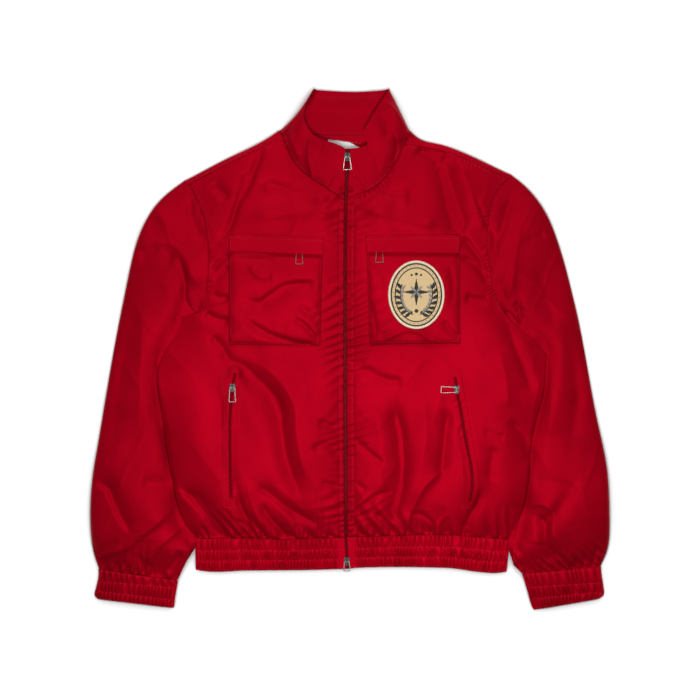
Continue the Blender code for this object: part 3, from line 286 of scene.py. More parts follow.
class JacketCloth(bpy.types.PropertyGroup):
    """Cloth sizes."""

    crease: FloatProperty(
        name="Crease depth", description="Factor on the depth of every crease", default=1.4, min=0, max=2)
    crumple: FloatProperty(
        name="Crumple", description="Height of the soft unevenness of the nylon", default=1.3 * MM,
        unit="LENGTH")
    pucker: FloatProperty(
        name="Seam puckers", description="Factor on the puckers along the seams", default=1.6, min=0, max=2)
    gather: FloatProperty(
        name="Gather height", description="Height of the gathers in the shirred bands", default=1.9 * MM,
        unit="LENGTH")
    stitch: FloatProperty(
        name="Stitch length", description="Length of one stitch", default=2.6 * MM, unit="LENGTH")
    thread: FloatProperty(
        name="Thread", description="Thickness of the sewing thread", default=0.6 * MM, unit="LENGTH")
    tooth: FloatProperty(
        name="Zip coil pitch", description="Spacing of the zip's coil", default=1.9 * MM, unit="LENGTH")


class JacketColours(bpy.types.PropertyGroup):
    """Colours, as sRGB hex."""

    nylon: StringProperty(name="Nylon", description="Dyed nylon, sRGB hex", default="A8001A")
    thread: StringProperty(name="Thread", description="Sewing thread, sRGB hex", default="BC1030")
    tape: StringProperty(name="Zip tape", description="Woven tape of the zips, sRGB hex", default="74000F")
    felt: StringProperty(name="Felt", description="Cream felt of the patch, sRGB hex", default="D9BC8E")
    border: StringProperty(name="Felt border", description="Edge of the patch, sRGB hex", default="EBD9BC")
    embroidery: StringProperty(name="Embroidery", description="Black thread, sRGB hex", default="121110")
    silver: StringProperty(name="Silver thread", description="Grey thread, sRGB hex", default="8F897F")
    label: StringProperty(name="Label", description="Woven label, sRGB hex", default="F3EFEC")
    metal: StringProperty(name="Wire", description="Nickel plated wire, sRGB hex", default="8C8681")
    slider: StringProperty(name="Sliders", description="Dark plated sliders, sRGB hex", default="3C3937")


class JacketStudio(bpy.types.PropertyGroup):
    """Light and camera."""

    key: FloatProperty(
        name="Key light", description="Power of the light beyond the collar", default=62.0, unit="POWER")
    overhead: FloatProperty(
        name="Overhead light", description="Power of the light over the middle", default=8.4, unit="POWER")
    sky: FloatProperty(name="Sky", description="Strength of the even light all round", default=0.1)
    glow: FloatProperty(name="Glow", description="Light that the floor gives off by itself", default=0.7)
    floor: FloatVectorProperty(
        name="Floor", description="Colour of the floor", subtype="COLOR", default=(0.62, 0.62, 0.62))
    lens: FloatProperty(name="Lens", description="Focal length in millimetres", default=85.0)
    span: FloatProperty(name="Span", description="Width of floor in view", default=1.05, unit="LENGTH")


def cloth():
    return bpy.context.scene.jacket_cloth


def colours():
    return bpy.context.scene.jacket_colours


def studio():
    return bpy.context.scene.jacket_studio


# ---- lines on the jacket ----


def at(places):
    """Places read from above, as millimetres on the jacket."""
    places = np.asarray(places, float)
    return np.stack([STEP * (places[..., 0] - MIDDLE), STEP * (MIDDLE - places[..., 1])], axis=-1)


def soft(value):
    """0 below 0, 1 above 1, and a soft step between."""
    value = np.clip(value, 0, 1)
    return value * value * (3 - 2 * value)


def ramp(value, start, length):
    """0 up to the start, 1 from a length past it, and a soft step between."""
    return soft((value - start) / length)


def rounded(line, spacing=3.0):
    """A line of a few points as a smooth curve with a point about every so many millimetres."""
    line = np.asarray(line, float)
    steps = np.linalg.norm(np.diff(line[:, :2], axis=0), axis=1)
    places = np.concatenate([[0], np.cumsum(steps)])
    slopes = np.gradient(line, places, axis=0)
    want = np.linspace(0, places[-1], max(3, int(places[-1] / spacing) + 1))
    row = np.clip(np.searchsorted(places, want, side="right") - 1, 0, len(steps) - 1)
    span = steps[row][:, None]
    t = ((want - places[row]) / steps[row])[:, None]
    a, b = line[row], line[row + 1]
    return ((2 * t**3 - 3 * t**2 + 1) * a + (t**3 - 2 * t**2 + t) * span * slopes[row]
            + (3 * t**2 - 2 * t**3) * b + (t**3 - t**2) * span * slopes[row + 1])


def resampled(table, places):
    """A table's rows at places from 0 to 1 along it."""
    line = rounded(table, 1.0)
    steps = np.linspace(0, 1, len(line))
    return np.stack([np.interp(places, steps, column) for column in line.T], axis=1)


def headings(line):
    """The direction in which a line runs at each of its points."""
    run = np.gradient(line, axis=0)
    return run / np.linalg.norm(run, axis=1)[:, None]


def moved_aside(line, distance):
    """The line moved to the left of its run."""
    run = headings(line)
    return line + distance * np.stack([-run[:, 1], run[:, 0]], axis=1)


def beside(x, y, line):
    """For each point: its distance from the line, negative on the right of its run, and how far along the
    line it lies. Also the line's length."""
    best = np.full(x.shape, np.inf)
    side = np.zeros(x.shape)
    place = np.zeros(x.shape)
    start = 0.0
    for (ax, ay), (bx, by) in zip(line[:-1, :2], line[1:, :2]):
        dx, dy = bx - ax, by - ay
        length = max(math.hypot(dx, dy), 1e-6)
        along = ((x - ax) * dx + (y - ay) * dy) / length
        held = np.clip(along, 0, length)
        away = np.hypot(x - ax - held * dx / length, y - ay - held * dy / length)
        near = away < best
        best = np.where(near, away, best)
        side = np.where(near, np.sign(dx * (y - ay) - dy * (x - ax)), side)
        place = np.where(near, start + held, place)
        start += length
    return best * side, place, start


def around(x, y, line, reach):
    """Whether each point is in the line's bounding box, or within reach of it."""
    low, high = line.min(axis=0) - reach, line.max(axis=0) + reach
    return (x > low[0]) & (x < high[0]) & (y > low[1]) & (y < high[1])


def noise(x, y, size, seed, stretch=1.0, turn=0.0):
    """Smooth random heights from -1 to 1, with one bump in each size."""
    bumps = 64
    grid = np.random.default_rng(seed).uniform(-1, 1, (bumps, bumps))
    c, s = math.cos(turn), math.sin(turn)
    u, v = (c * x + s * y) / size, (c * y - s * x) / (size * stretch)
    i, j = np.floor(u).astype(int), np.floor(v).astype(int)
    a, b = soft(u - i), soft(v - j)
    low = (1 - a) * grid[i % bumps, j % bumps] + a * grid[(i + 1) % bumps, j % bumps]
    high = (1 - a) * grid[i % bumps, (j + 1) % bumps] + a * grid[(i + 1) % bumps, (j + 1) % bumps]
    return (1 - b) * low + b * high


def drift(place, size, seed):
    """The same along a line."""
    return noise(place, 0 * place, size, seed)


def wave(phase):
    return np.sin(2 * math.pi * phase)


# ---- the relief of the cloth ----


def crease_heights(x, y, creases):
    """Height of the creases at each point: each has its own slope on either side, and fades at its ends."""
    height = np.zeros(x.shape)
    for number, (line, left, right, rise) in enumerate(creases):
        line = rounded(at(line), 5.0)
        near = around(x, y, line, 3 * max(left, right))
        if not near.any():
            continue
        px, py = x[near], y[near]
        stray = STRAY * noise(px, py, STRAY_SIZE, number + 40)
        away, place, length = beside(px + stray, py - stray, line)
        ends = soft(place / (RUN_IN * length)) * soft((length - place) / (RUN_OUT * length))
        uneven = 0.85 + 0.3 * drift(place, 30, number + 90)
        crispness = RIDGE_CRISPNESS if rise > 0 else TROUGH_CRISPNESS
        slope = np.exp(-np.abs(away / np.where(away > 0, left, right)) ** crispness)
        height[near] += rise * uneven * (CREASE_END + (1 - CREASE_END) * ends) * slope
    return height * cloth().crease


def pucker_heights(x, y):
    """Height of the small puckers that the stitching pulls into the cloth along each seam."""
    height = np.zeros(x.shape)
    for number, (line, spacing, left, right, rise, slant) in enumerate(PUCKERS):
        line = rounded(at(line), 4.0)
        near = around(x, y, line, 2.5 * max(left, right))
        if not near.any():
            continue
        away, place, length = beside(x[near], y[near], line)
        uneven = noise(place, 0.5 * away, 2.8 * spacing, number + 11)
        phase = (place + slant * away / 6) / spacing + 0.9 * uneven
        strength = np.maximum(0.1, 0.75 + 0.9 * drift(place, 3.4 * spacing, number + 5))
        reach = np.where(away > 0, left, right) * (0.45 + 0.6 * strength)
        fade = np.exp(-((away / reach) ** 2)) * soft((length - place) / (0.12 * length))
        height[near] += rise * strength * fade * wave(phase)
        height[near] -= FURROW * np.exp(-((away / FURROW_WIDTH) ** 2))
    return height


def placket_heights(x, y):
    """Height of the placket along the zip: a puckered double layer with a furrow along its edge."""
    away, place, _ = beside(x, y, rounded(at(ZIP_EDGE), 8.0))
    wide = np.where(away < 0, PLACKET["right"], PLACKET["left"])
    away = np.abs(away)
    share = away / wide
    phase = place / PLACKET["spacing"] + 0.5 * drift(place, 21, 77) + away * PLACKET["slant"] / 60
    band = soft((1.35 - share) / 0.5) * ramp(away, 1.5, 2)
    puckers = PLACKET["height"] * band * wave(phase) * (0.7 + 0.4 * drift(place, 35, 78))
    return puckers + 0.5 * soft((1 - share) / 0.25) - 0.5 * np.exp(-(((share - 1) * wide / 1.2) ** 2))


def gather_heights(x, y):
    """Height of the folds that run out of the shirred hem and cuffs into the cloth above them."""
    height = np.zeros(x.shape)
    for number, (line, spacing, rise, reach) in enumerate(GATHERS):
        away, place, _ = beside(x, y, rounded(at(line), 6.0))
        above = np.maximum(away, 0)
        reach = np.maximum(reach * (1 + 0.9 * drift(place, 33, number + 31)), 5)
        lean = (0.3 + 0.6 * drift(place, 140, number + 51)) * above
        fold = wave((place + lean) / spacing + 1.2 * drift(place + lean, 2.2 * spacing, number + 21))
        fade = np.exp(-above / reach) * ramp(above, -1, 4) * soft((GATHER_END - above) / GATHER_FADE)
        height += rise * np.sign(fold) * np.abs(fold) ** 0.8 * fade * (away > -90)
    return height


def crumple_heights(x, y):
    """The soft unevenness of light nylon that was folded away: broad bumps, and faint sharp crests."""
    broad = noise(x, y, 74, 3) + 0.55 * noise(x, y, 41, 4, stretch=1.7, turn=0.5)
    crest = 1 - np.abs(noise(x + 6 * noise(x, y, 30, 8), y, 62, 5, stretch=2.1, turn=-0.45))
    cross = 1 - np.abs(noise(x, y + 6 * noise(x, y, 34, 9), 80, 6, stretch=1.9, turn=0.7))
    fine = noise(x, y, 17, 12, stretch=1.6, turn=0.3)
    return cloth().crumple / MM * (1.25 * broad + 0.6 * (crest**8 + cross**8) + 0.2 * fine)


def calm(x, y):
    """1 on open cloth and 0 beside the zips and the sliders, which the cloth must not bury."""
    kept = np.ones(x.shape)
    for px, py in at(PULL_SPOTS):
        kept = np.minimum(kept, ramp(np.hypot(x - px, y - py), *FLAT_AT_PULL))
    for line in SIDE_ZIPS:
        away = beside(x, y, rounded(at(line), 12))[0]
        kept = np.minimum(kept, ramp(np.abs(away), *FLAT_AT_SIDE_ZIP))
    away = beside(x, y, rounded(at(ZIP_EDGE), 20))[0]
    return kept * (LEFT_AT_ZIP + (1 - LEFT_AT_ZIP) * ramp(np.abs(away), *FLAT_AT_FRONT_ZIP))


def relief(x, y, pocket=False):
    """Height in millimetres that the cloth's creases, puckers, gathers and crumple add at each point."""
    open_cloth = crease_heights(x, y, CREASES) + crumple_heights(x, y) + gather_heights(x, y)
    if pocket:
        open_cloth += crease_heights(x, y, POCKET_CREASES)
    return calm(x, y) * open_cloth + cloth().pucker * (pucker_heights(x, y) + placket_heights(x, y))


# ---- meshes ----


def rims(bm, wall):
    """Marks the edges where a wall of cloth ends as sharp, so that smoothing keeps them and the corners."""
    layer = bm.edges.layers.float.get("crease_edge") or bm.edges.layers.float.new("crease_edge")
    short = {edge for edge in bm.edges if edge.calc_length() < wall}
    rim = {face for face in bm.faces if any(edge in short for edge in face.edges)}
    outline = {edge for edge in bm.edges if edge not in short and sum(f in rim for f in edge.link_faces) == 1}
    for edge in outline:
        edge[layer] = 1
    for edge in short:
        sides = [e for e in edge.verts[0].link_edges if e in outline]
        if len(sides) != 2:
            continue
        runs = [(e.other_vert(edge.verts[0]).co - edge.verts[0].co).normalized() for e in sides]
        if runs[0].dot(runs[1]) > -math.cos(math.radians(34)):
            edge[layer] = 1


def smoothed(name, levels, wall):
    """A node's own mesh as smooth cloth: joined into quads, with its edges kept, and subdivided."""
    bm = bmesh.new()
    bm.from_mesh(frame["nodes"][name].data)
    bmesh.ops.remove_doubles(bm, verts=bm.verts, dist=0.01 * MM)
    bmesh.ops.join_triangles(bm, faces=bm.faces, angle_face_threshold=math.radians(50),
                             angle_shape_threshold=math.radians(80))
    rims(bm, wall * MM)
    mesh = bpy.data.meshes.new(name)
    bm.to_mesh(mesh)
    bm.free()
    carrier = bpy.data.objects.new("carrier", mesh)
    bpy.context.scene.collection.objects.link(carrier)
    modifier = carrier.modifiers.new("smooth", "SUBSURF")
    modifier.levels = modifier.render_levels = levels
    graph = bpy.context.evaluated_depsgraph_get()
    made = bpy.data.meshes.new_from_object(carrier.evaluated_get(graph))
    bpy.data.objects.remove(carrier)
    bpy.data.meshes.remove(mesh)
    bm = bmesh.new()
    bm.from_mesh(made)
    bpy.data.meshes.remove(made)
    return bm


def refine(bm, cuts):
    """Cuts the faces that are open to the sky into smaller ones, and evens them out."""
    tree = BVHTree.FromBMesh(bm)
    bm.normal_update()
    up = -DOWN
    shown = [face for face in bm.faces if face.normal.z > 0.08
             and tree.ray_cast(face.calc_center_median() + 0.4 * MM * up, up)[0] is None]
    edges = list({edge for face in shown for edge in face.edges})
    done = bmesh.ops.subdivide_edges(bm, edges=edges, cuts=cuts, use_grid_fill=True)
    inner = [vert for vert in done["geom_inner"] if isinstance(vert, bmesh.types.BMVert)]
    for _ in range(2):
        bmesh.ops.smooth_vert(
            bm, verts=inner, factor=0.5, use_axis_x=False, use_axis_y=False, use_axis_z=True)


def upper(bm, depth=1.9):
    """Whether each point is in the wall that lies on top, down to a depth in millimetres."""
    tree = BVHTree.FromBMesh(bm)
    tops = [tree.ray_cast(Vector((vert.co.x, vert.co.y, HIGH * MM)), DOWN)[0] for vert in bm.verts]
    return np.array([top is None or vert.co.z > top.z - depth * MM for vert, top in zip(bm.verts, tops)])


def dress(name, mode, levels=2, cuts=2, wall=1.75, pocket=False, add=None):
    """A node as creased cloth. mode is wall where all of it follows the creases, tube where its upper wall
    does, and rest where only what faces up does, because its underside lies on something. wall is a little
    more than the cloth's thickness, and add gives a rise of its own."""
    bm = smoothed(name, levels, wall)
    refine(bm, cuts)
    bm.normal_update()
    x, y, z = np.array([vert.co for vert in bm.verts]).T / MM
    tilt = np.array([vert.normal.z for vert in bm.verts])
    lift = relief(x, y, pocket)
    facing = ramp(np.abs(tilt), *FOLLOWS)
    if mode == "tube":
        facing = facing * upper(bm)
        room = np.maximum(z - np.where(tilt > 0, *SLEEVE_LOWEST), 0.1)
        lift = np.where(lift < 0, -room * np.tanh(-lift / room), lift * ramp(z, *SLEEVE_FREE))
    if mode == "rest":
        facing = facing * (tilt > 0) * (z > REST_SKIN)
        lift = np.maximum(lift, -REST_SINK) * ramp(z, *REST_FREE)
    if add is not None:
        lift = lift + add(x, y)
    if mode == "wall":
        lift = np.maximum(lift, -FRONT_ROOM)
    floor = np.minimum(z, 0)
    moved = np.maximum(z + facing * lift, floor)
    places = np.stack([x, y, moved], axis=1)
    for line, reach, shift, ceiling in TUCKED.get(name, ()):
        away = beside(x, y, at(line))[0]
        share = np.exp(-((away / reach) ** 2)) * soft((ceiling - moved) / 2)
        places += share[:, None] * np.array(shift)
    places[:, 2] = np.maximum(places[:, 2], floor)
    for vert, place in zip(bm.verts, places):
        vert.co = Vector(place) * MM
    return finished(name, bm)


def finished(name, bm, crisp=40):
    """An object from the mesh that rides on the garment, shaded smooth but for edges over so many degrees."""
    bmesh.ops.recalc_face_normals(bm, faces=bm.faces)
    mesh = bpy.data.meshes.new(name)
    bm.to_mesh(mesh)
    bm.free()
    mesh.shade_smooth()
    mesh.set_sharp_from_angle(angle=math.radians(crisp))
    obj = bpy.data.objects.new(name + "_cloth", mesh)
    bpy.context.scene.collection.objects.link(obj)
    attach(obj, GARMENT)
    return obj


def object_of(name, points, faces, crisp=40):
    """An object from points in millimetres and faces."""
    bm = bmesh.new()
    verts = [bm.verts.new(Vector(p) * MM) for p in points]
    for face in faces:
        bm.faces.new([verts[k] for k in face])
    return finished(name, bm, crisp)


def cells(rows, columns, closed=False):
    """One quad for each cell of a grid. A closed grid joins its last column to its first."""
    i, j = np.meshgrid(np.arange(rows - 1), np.arange(columns if closed else columns - 1), indexing="ij")
    k = (j + 1) % columns
    row, ahead = i * columns, (i + 1) * columns
    quads = np.stack([row + j, row + k, ahead + k, ahead + j], axis=-1)
    return [tuple(int(n) for n in quad) for quad in quads.reshape(-1, 4)]


def open_edges(faces):
    """Each edge that only one face has."""
    edges = {}
    for face in faces:
        for a, b in zip(face, face[1:] + face[:1]):
            edges[a, b] = (b, a)
    return [edge for edge, back in edges.items() if back not in edges]


def walled(name, outer, inner, faces):
    """A closed wall of cloth from its outer and inner points."""
    outer, inner = outer.reshape(-1, 3), inner.reshape(-1, 3)
    count = len(outer)
    closed = list(faces) + [tuple(count + k for k in reversed(face)) for face in faces]
    closed += [(b, a, count + a, count + b) for a, b in open_edges(faces)]
    return object_of(name, np.concatenate([outer, inner]), closed, crisp=60)


def bar_faces(first, sides):
    """The faces of a bar whose points, from the first on, are four rings of so many."""
    faces = [tuple(first + n for n in range(sides)), tuple(first + 4 * sides - 1 - n for n in range(sides))]
    for low in range(first, first + 3 * sides, sides):
        for a in range(sides):
            b = (a + 1) % sides
            faces.append((low + b, low + a, low + sides + a, low + sides + b))
    return faces


# ---- materials. The Scale of a noise texture is about how many bumps it has to a metre ----

# Millimetres. The real yarns lie about 0.15 mm apart, which is too fine to show, so they are drawn six times
# as coarse.
YARN = 0.9
WEAVE = 0.16 / (YARN * MM)  # the Scale of a wave texture with a band, or a gap, for each yarn


def linear(code):
    """An sRGB hex value as linear colour."""
    shares = [int(code[k : k + 2], 16) / 255 for k in (0, 2, 4)]
    return (*(s / 12.92 if s <= 0.04045 else ((s + 0.055) / 1.055) ** 2.4 for s in shares), 1.0)


def shade(colour, factor):
    return (*(min(1.0, c * factor) for c in colour[:3]), 1.0)


def node(tree, kind, settings=None, **links):
    """Adds a shader node with its settings. A link names an input, and holds an output socket or a value."""
    made = tree.nodes.new(kind)
    for key, value in (settings or {}).items():
        setattr(made, key, value)
    for key, value in links.items():
        numbered = key[0] == "i" and key[1:].isdigit()
        socket = made.inputs[int(key[1:]) if numbered else key.replace("_", " ")]
        if isinstance(value, bpy.types.NodeSocket):
            tree.links.new(value, socket)
        else:
            socket.default_value = value
    return made


def plain(name, colour, roughness, metallic=0.0, specular=0.5):
    """A material with its Principled shader set to plain values. Returns it with its tree, its shader, and
    the place on the piece that its patterns go by."""
    material = bpy.data.materials.new(name)
    material.use_nodes = True
    tree = material.node_tree
    shader = tree.nodes["Principled BSDF"]
    shader.inputs["Base Color"].default_value = colour
    shader.inputs["Roughness"].default_value = roughness
    shader.inputs["Metallic"].default_value = metallic
    shader.inputs["Specular IOR Level"].default_value = specular
    return material, tree, shader, node(tree, "ShaderNodeTexCoord").outputs["Object"]


def patterned(tree, shader, pattern, dark, light, strength=0.0, depth=0.0):
    """Draws a pattern between two colours, and embosses it to a depth in millimetres if it has a strength."""
    mix = node(tree, "ShaderNodeMix", {"data_type": "RGBA"}, i0=pattern, i6=dark, i7=light)
    tree.links.new(mix.outputs[2], shader.inputs["Base Color"])
    if strength:
        bump = node(tree, "ShaderNodeBump", Height=pattern, Strength=strength, Distance=depth * MM)
        tree.links.new(bump.outputs["Normal"], shader.inputs["Normal"])


@cache
def woven_nylon(name, crinkled, pleated, painted_light_tone):
    """Piece-dyed woven nylon, calendered: deep even colour, a fine grain and a soft silky gloss of its own
    colour. crinkled and pleated are the strengths of its broader and its finer wrinkles. painted_light_tone
    is a
    factor on the colour: above 1 it gives a lighter copy that paints light, below 1 a darker copy that paints
    shade."""
    colour = shade(linear(colours().nylon), painted_light_tone)
    material, tree, shader, place = plain(name, colour, 0.6, 0.36, 0.15)
    shader.inputs["Specular Tint"].default_value = (1.0, 0.06, 0.12, 1)
    shader.inputs["Sheen Weight"].default_value = 0.05
    shader.inputs["Sheen Roughness"].default_value = 0.4
    shader.inputs["Sheen Tint"].default_value = (1.0, 0.1, 0.2, 1)
    broad = node(tree, "ShaderNodeTexNoise", Vector=place, Scale=9.0, Detail=3.0, Roughness=0.55)
    spread = node(tree, "ShaderNodeMapRange", Value=broad.outputs["Fac"], From_Min=0.35, From_Max=0.65)
    patterned(tree, shader, spread.outputs["Result"], shade(colour, 0.9), shade(colour, 1.07))
    warp, weft = (node(tree, "ShaderNodeTexWave", {"bands_direction": way}, Vector=place, Scale=WEAVE,
                       Distortion=0.6, Detail=1.0).outputs["Fac"] for way in "XY")
    yarn = node(tree, "ShaderNodeMath", {"operation": "MULTIPLY"}, i0=warp, i1=weft)
    crinkle = node(tree, "ShaderNodeTexNoise", Vector=place, Scale=150.0, Detail=4.0, Roughness=0.6)
    bump = node(tree, "ShaderNodeBump", Height=yarn.outputs[0], Strength=0.12, Distance=0.1 * MM)
    bump = node(tree, "ShaderNodeBump", Height=crinkle.outputs["Fac"], Strength=crinkled, Distance=0.8 * MM,
                Normal=bump.outputs["Normal"])
    if pleated:
        fine = node(tree, "ShaderNodeTexNoise", Vector=place, Scale=420.0, Detail=2.0)
        bump = node(tree, "ShaderNodeBump", Height=fine.outputs["Fac"], Strength=pleated, Distance=0.4 * MM,
                    Normal=bump.outputs["Normal"])
    tree.links.new(bump.outputs["Normal"], shader.inputs["Normal"])
    return material


# A painted_light_tone other than 1 gives a copy of the nylon with painted light (lighter) or painted shade
# (darker).
def nylon(painted_light_tone=1.0):
    return woven_nylon("nylon_taffeta_woven", 0.35, 0.0, painted_light_tone)


def shirred(painted_light_tone=1.0):
    return woven_nylon("nylon_taffeta_shirred", 0.5, 0.35, painted_light_tone)


@cache
def spun_thread():
    """Polyester sewing thread, spun and plied: a little lighter and drier than the nylon."""
    colour = linear(colours().thread)
    material, tree, shader, place = plain("polyester_thread_spun", colour, 0.6, 0.0, 0.2)
    ply = node(tree, "ShaderNodeTexWave", {"bands_direction": "DIAGONAL"}, Vector=place, Scale=500.0)
    patterned(tree, shader, ply.outputs["Fac"], shade(colour, 0.7), colour)
    return material


@cache
def woven_tape():
    """Polyester zip tape, twill woven: dark and dull, with a diagonal rib."""
    colour = linear(colours().tape)
    material, tree, shader, place = plain("polyester_tape_twill", colour, 0.8, 0.0, 0.04)
    rib = node(tree, "ShaderNodeTexWave", {"bands_direction": "DIAGONAL"}, Vector=place, Scale=220.0,
               Distortion=0.4)
    patterned(tree, shader, rib.outputs["Fac"], shade(colour, 0.6), shade(colour, 1.3), 0.4, 0.2)
    return material


@cache
def moulded_coil():
    """Nylon monofilament coil of the zip, dyed dark red: smooth and slightly glossy."""
    colour = linear(colours().tape)
    material, tree, shader, place = plain("nylon_coil_dyed", shade(colour, 0.7), 0.4, 0.0, 0.1)
    uneven = node(tree, "ShaderNodeTexNoise", Vector=place, Scale=300.0)
    patterned(tree, shader, uneven.outputs["Fac"], shade(colour, 0.5), colour)
    return material


@cache
def plated(name, code, roughness):
    """Plated metal: bright, with faint tumbling marks and slightly duller patches."""
    material, tree, shader, place = plain(name, linear(code), roughness, 1.0)
    marks = node(tree, "ShaderNodeTexNoise", Vector=place, Scale=900.0, Detail=5.0, Roughness=0.7)
    wear = 0.08
    span = node(tree, "ShaderNodeMapRange", Value=marks.outputs["Fac"], From_Min=0.3, From_Max=0.7,
                To_Min=roughness - wear, To_Max=roughness + wear)
    tree.links.new(span.outputs["Result"], shader.inputs["Roughness"])
    bump = node(tree, "ShaderNodeBump", Height=marks.outputs["Fac"], Strength=0.15, Distance=0.05 * MM)
    tree.links.new(bump.outputs["Normal"], shader.inputs["Normal"])
    return material


@cache
def pressed_felt():
    """Wool felt, pressed: matte, with a short fuzzy nap."""
    colour = linear(colours().felt)
    material, tree, shader, place = plain("wool_felt_pressed", colour, 0.95, 0.0, 0.1)
    shader.inputs["Sheen Weight"].default_value = 0.15
    nap = node(tree, "ShaderNodeTexNoise", Vector=place, Scale=700.0, Detail=5.0, Roughness=0.7)
    patterned(tree, shader, nap.outputs["Fac"], shade(colour, 0.8), shade(colour, 1.12), 0.5, 0.3)
    return material


@cache
def satin_stitch(name, code, gloss=0.45):
    """Rayon in satin stitch, or polyester in satin weave: close parallel threads with a soft gloss along
    them."""
    colour = linear(code)
    material, tree, shader, place = plain(name, colour, gloss, 0.0, 0.4)
    threads = node(tree, "ShaderNodeTexWave", {"bands_direction": "DIAGONAL"}, Vector=place, Scale=260.0,
                   Distortion=1.5, Detail=1.0)
    patterned(tree, shader, threads.outputs["Fac"], shade(colour, 0.65), shade(colour, 1.2), 0.6, 0.25)
    return material


@cache
def floor_glow_painted_shadow():
    """White matt floor that glows evenly, so that it shows pure white. Its glow fades near whatever lies on
    it,
    by ambient occlusion: a painted contact shadow."""
    white = (*studio().floor, 1)
    material, tree, shader, place = plain("acrylic_matt_backlit", white, 0.9, 0.0, 0.1)
    shader.inputs["Emission Color"].default_value = (1, 1, 1, 1)
    # The occlusion mask dims the floor's glow near the jacket: this paints its contact shadow.
    clear = node(tree, "ShaderNodeAmbientOcclusion", {"samples": 8}, Distance=50 * MM)
    strength = node(tree, "ShaderNodeMapRange", Value=clear.outputs["AO"], From_Min=0.5, From_Max=0.95,
                    To_Min=0.0, To_Max=studio().glow)
    tree.links.new(strength.outputs["Result"], shader.inputs["Emission Strength"])
    cast = node(tree, "ShaderNodeTexNoise", Vector=place, Scale=60.0, Detail=3.0)
    patterned(tree, shader, cast.outputs["Fac"], shade(white, 0.99), white)
    return material


def paint(obj, material):
    obj.data.materials.clear()
    obj.data.materials.append(material)


# ---- pieces ----


def declare(obj, name, material):
    """Gives a cloth piece its material, and hides the node that it stands for."""
    paint(obj, material)
    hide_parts(name)


def clothe(name, mode, material, flat, slot="red_nylon", held="laid", on=None, **shape):
    declare(dress(name, mode, **shape), name, material)


class JACKET_OT_fronts(bpy.types.Operator):
    """Make the two fronts"""

    bl_idname = "jacket.fronts"
    bl_label = "Fronts"

    def execute(self, context):
        for side, width in zip(SIDES, (0.29, 0.30)):
            clothe(f"front_{side}", "wall", nylon(), (width, 0.60), on="back_panel")
        return {"FINISHED"}


class JACKET_OT_back(bpy.types.Operator):
    """Make the back, which turns over the shoulders"""

    bl_idname = "jacket.back"
    bl_label = "Back"

    def execute(self, context):
        clothe("back_panel", "rest", nylon(), (0.59, 0.62), cuts=1)
        return {"FINISHED"}


class JACKET_OT_sleeves(bpy.types.Operator):
    """Make the two sleeves"""

    bl_idname = "jacket.sleeves"
    bl_label = "Sleeves"

    def execute(self, context):
        for side in SIDES:
            # The sleeves' nylon at 0.9 of its colour is painted shade, for the light that falls off towards
            # the sides.
            clothe(f"sleeve_{side}", "tube", nylon(0.9), (0.31, 0.56))
        return {"FINISHED"}


class JACKET_OT_collar(bpy.types.Operator):
    """Make the collar"""

    bl_idname = "jacket.collar"
    bl_label = "Collar"

    def execute(self, context):
        # The collar's nylon at 0.94 of its colour is painted shade.
        clothe("collar", "rest", nylon(0.94), (0.40, 0.075), held="folded", on="back_panel", wall=2.1)
        return {"FINISHED"}


class JACKET_OT_pockets(bpy.types.Operator):
    """Make the chest pockets and their flaps, which rise a little over the tabs of their zips"""

    bl_idname = "jacket.pockets"
    bl_label = "Chest pockets"

    def execute(self, context):
        for side in SIDES:
            clothe(f"pocket_{side}", "wall", nylon(), (0.155, 0.16), on=f"front_{side}", pocket=True)
            px, py = at(TAB_SPOTS[side])
            clothe(f"flap_{side}", "wall", nylon(), (0.14, 0.028), on=f"pocket_{side}",
                   add=lambda x, y: TAB_RISE * np.exp(-((np.hypot(x - px, y - py) / TAB_REACH) ** 2)))
        return {"FINISHED"}


class JACKET_OT_hand_pockets(bpy.types.Operator):
    """Make the welts and zips of the slanted hand pockets"""

    bl_idname = "jacket.hand_pockets"
    bl_label = "Hand pockets"

    def execute(self, context):
        for side in SIDES:
            clothe(f"side_welt_{side}", "wall", nylon(), (0.0105, 0.19), on=f"front_{side}")
            paint(frame["nodes"][f"side_zip_{side}"], woven_tape())
        return {"FINISHED"}


# ---- shirred bands. Tables in millimetres on the jacket: x, y, z ----
HEM_TOP = {
    "right": [(-7.6, -283, 9), (-44, -282, 10.5), (-92, -284, 11), (-157, -282, 10.5), (-205, -283, 8.5),
              (-232, -284, 4.6)],
    "left": [(-3.2, -281, 9), (29, -280, 10.5), (80, -278, 11), (133, -277, 10.5), (184, -280, 9),
             (218, -283, 7.5), (241, -286, 4.6)],
}
HEM_BOTTOM = {
    "right": [(-5, -329.5, 6.5), (-56, -331, 7), (-156, -332, 7), (-218, -333, 6), (-231, -331, 4.6)],
    "left": [(-0.4, -328.5, 6.5), (20, -327.5, 7), (106, -327, 7), (158, -329, 7), (193, -334, 7),
             (225, -335.5, 6), (236, -334, 4.6)],
}
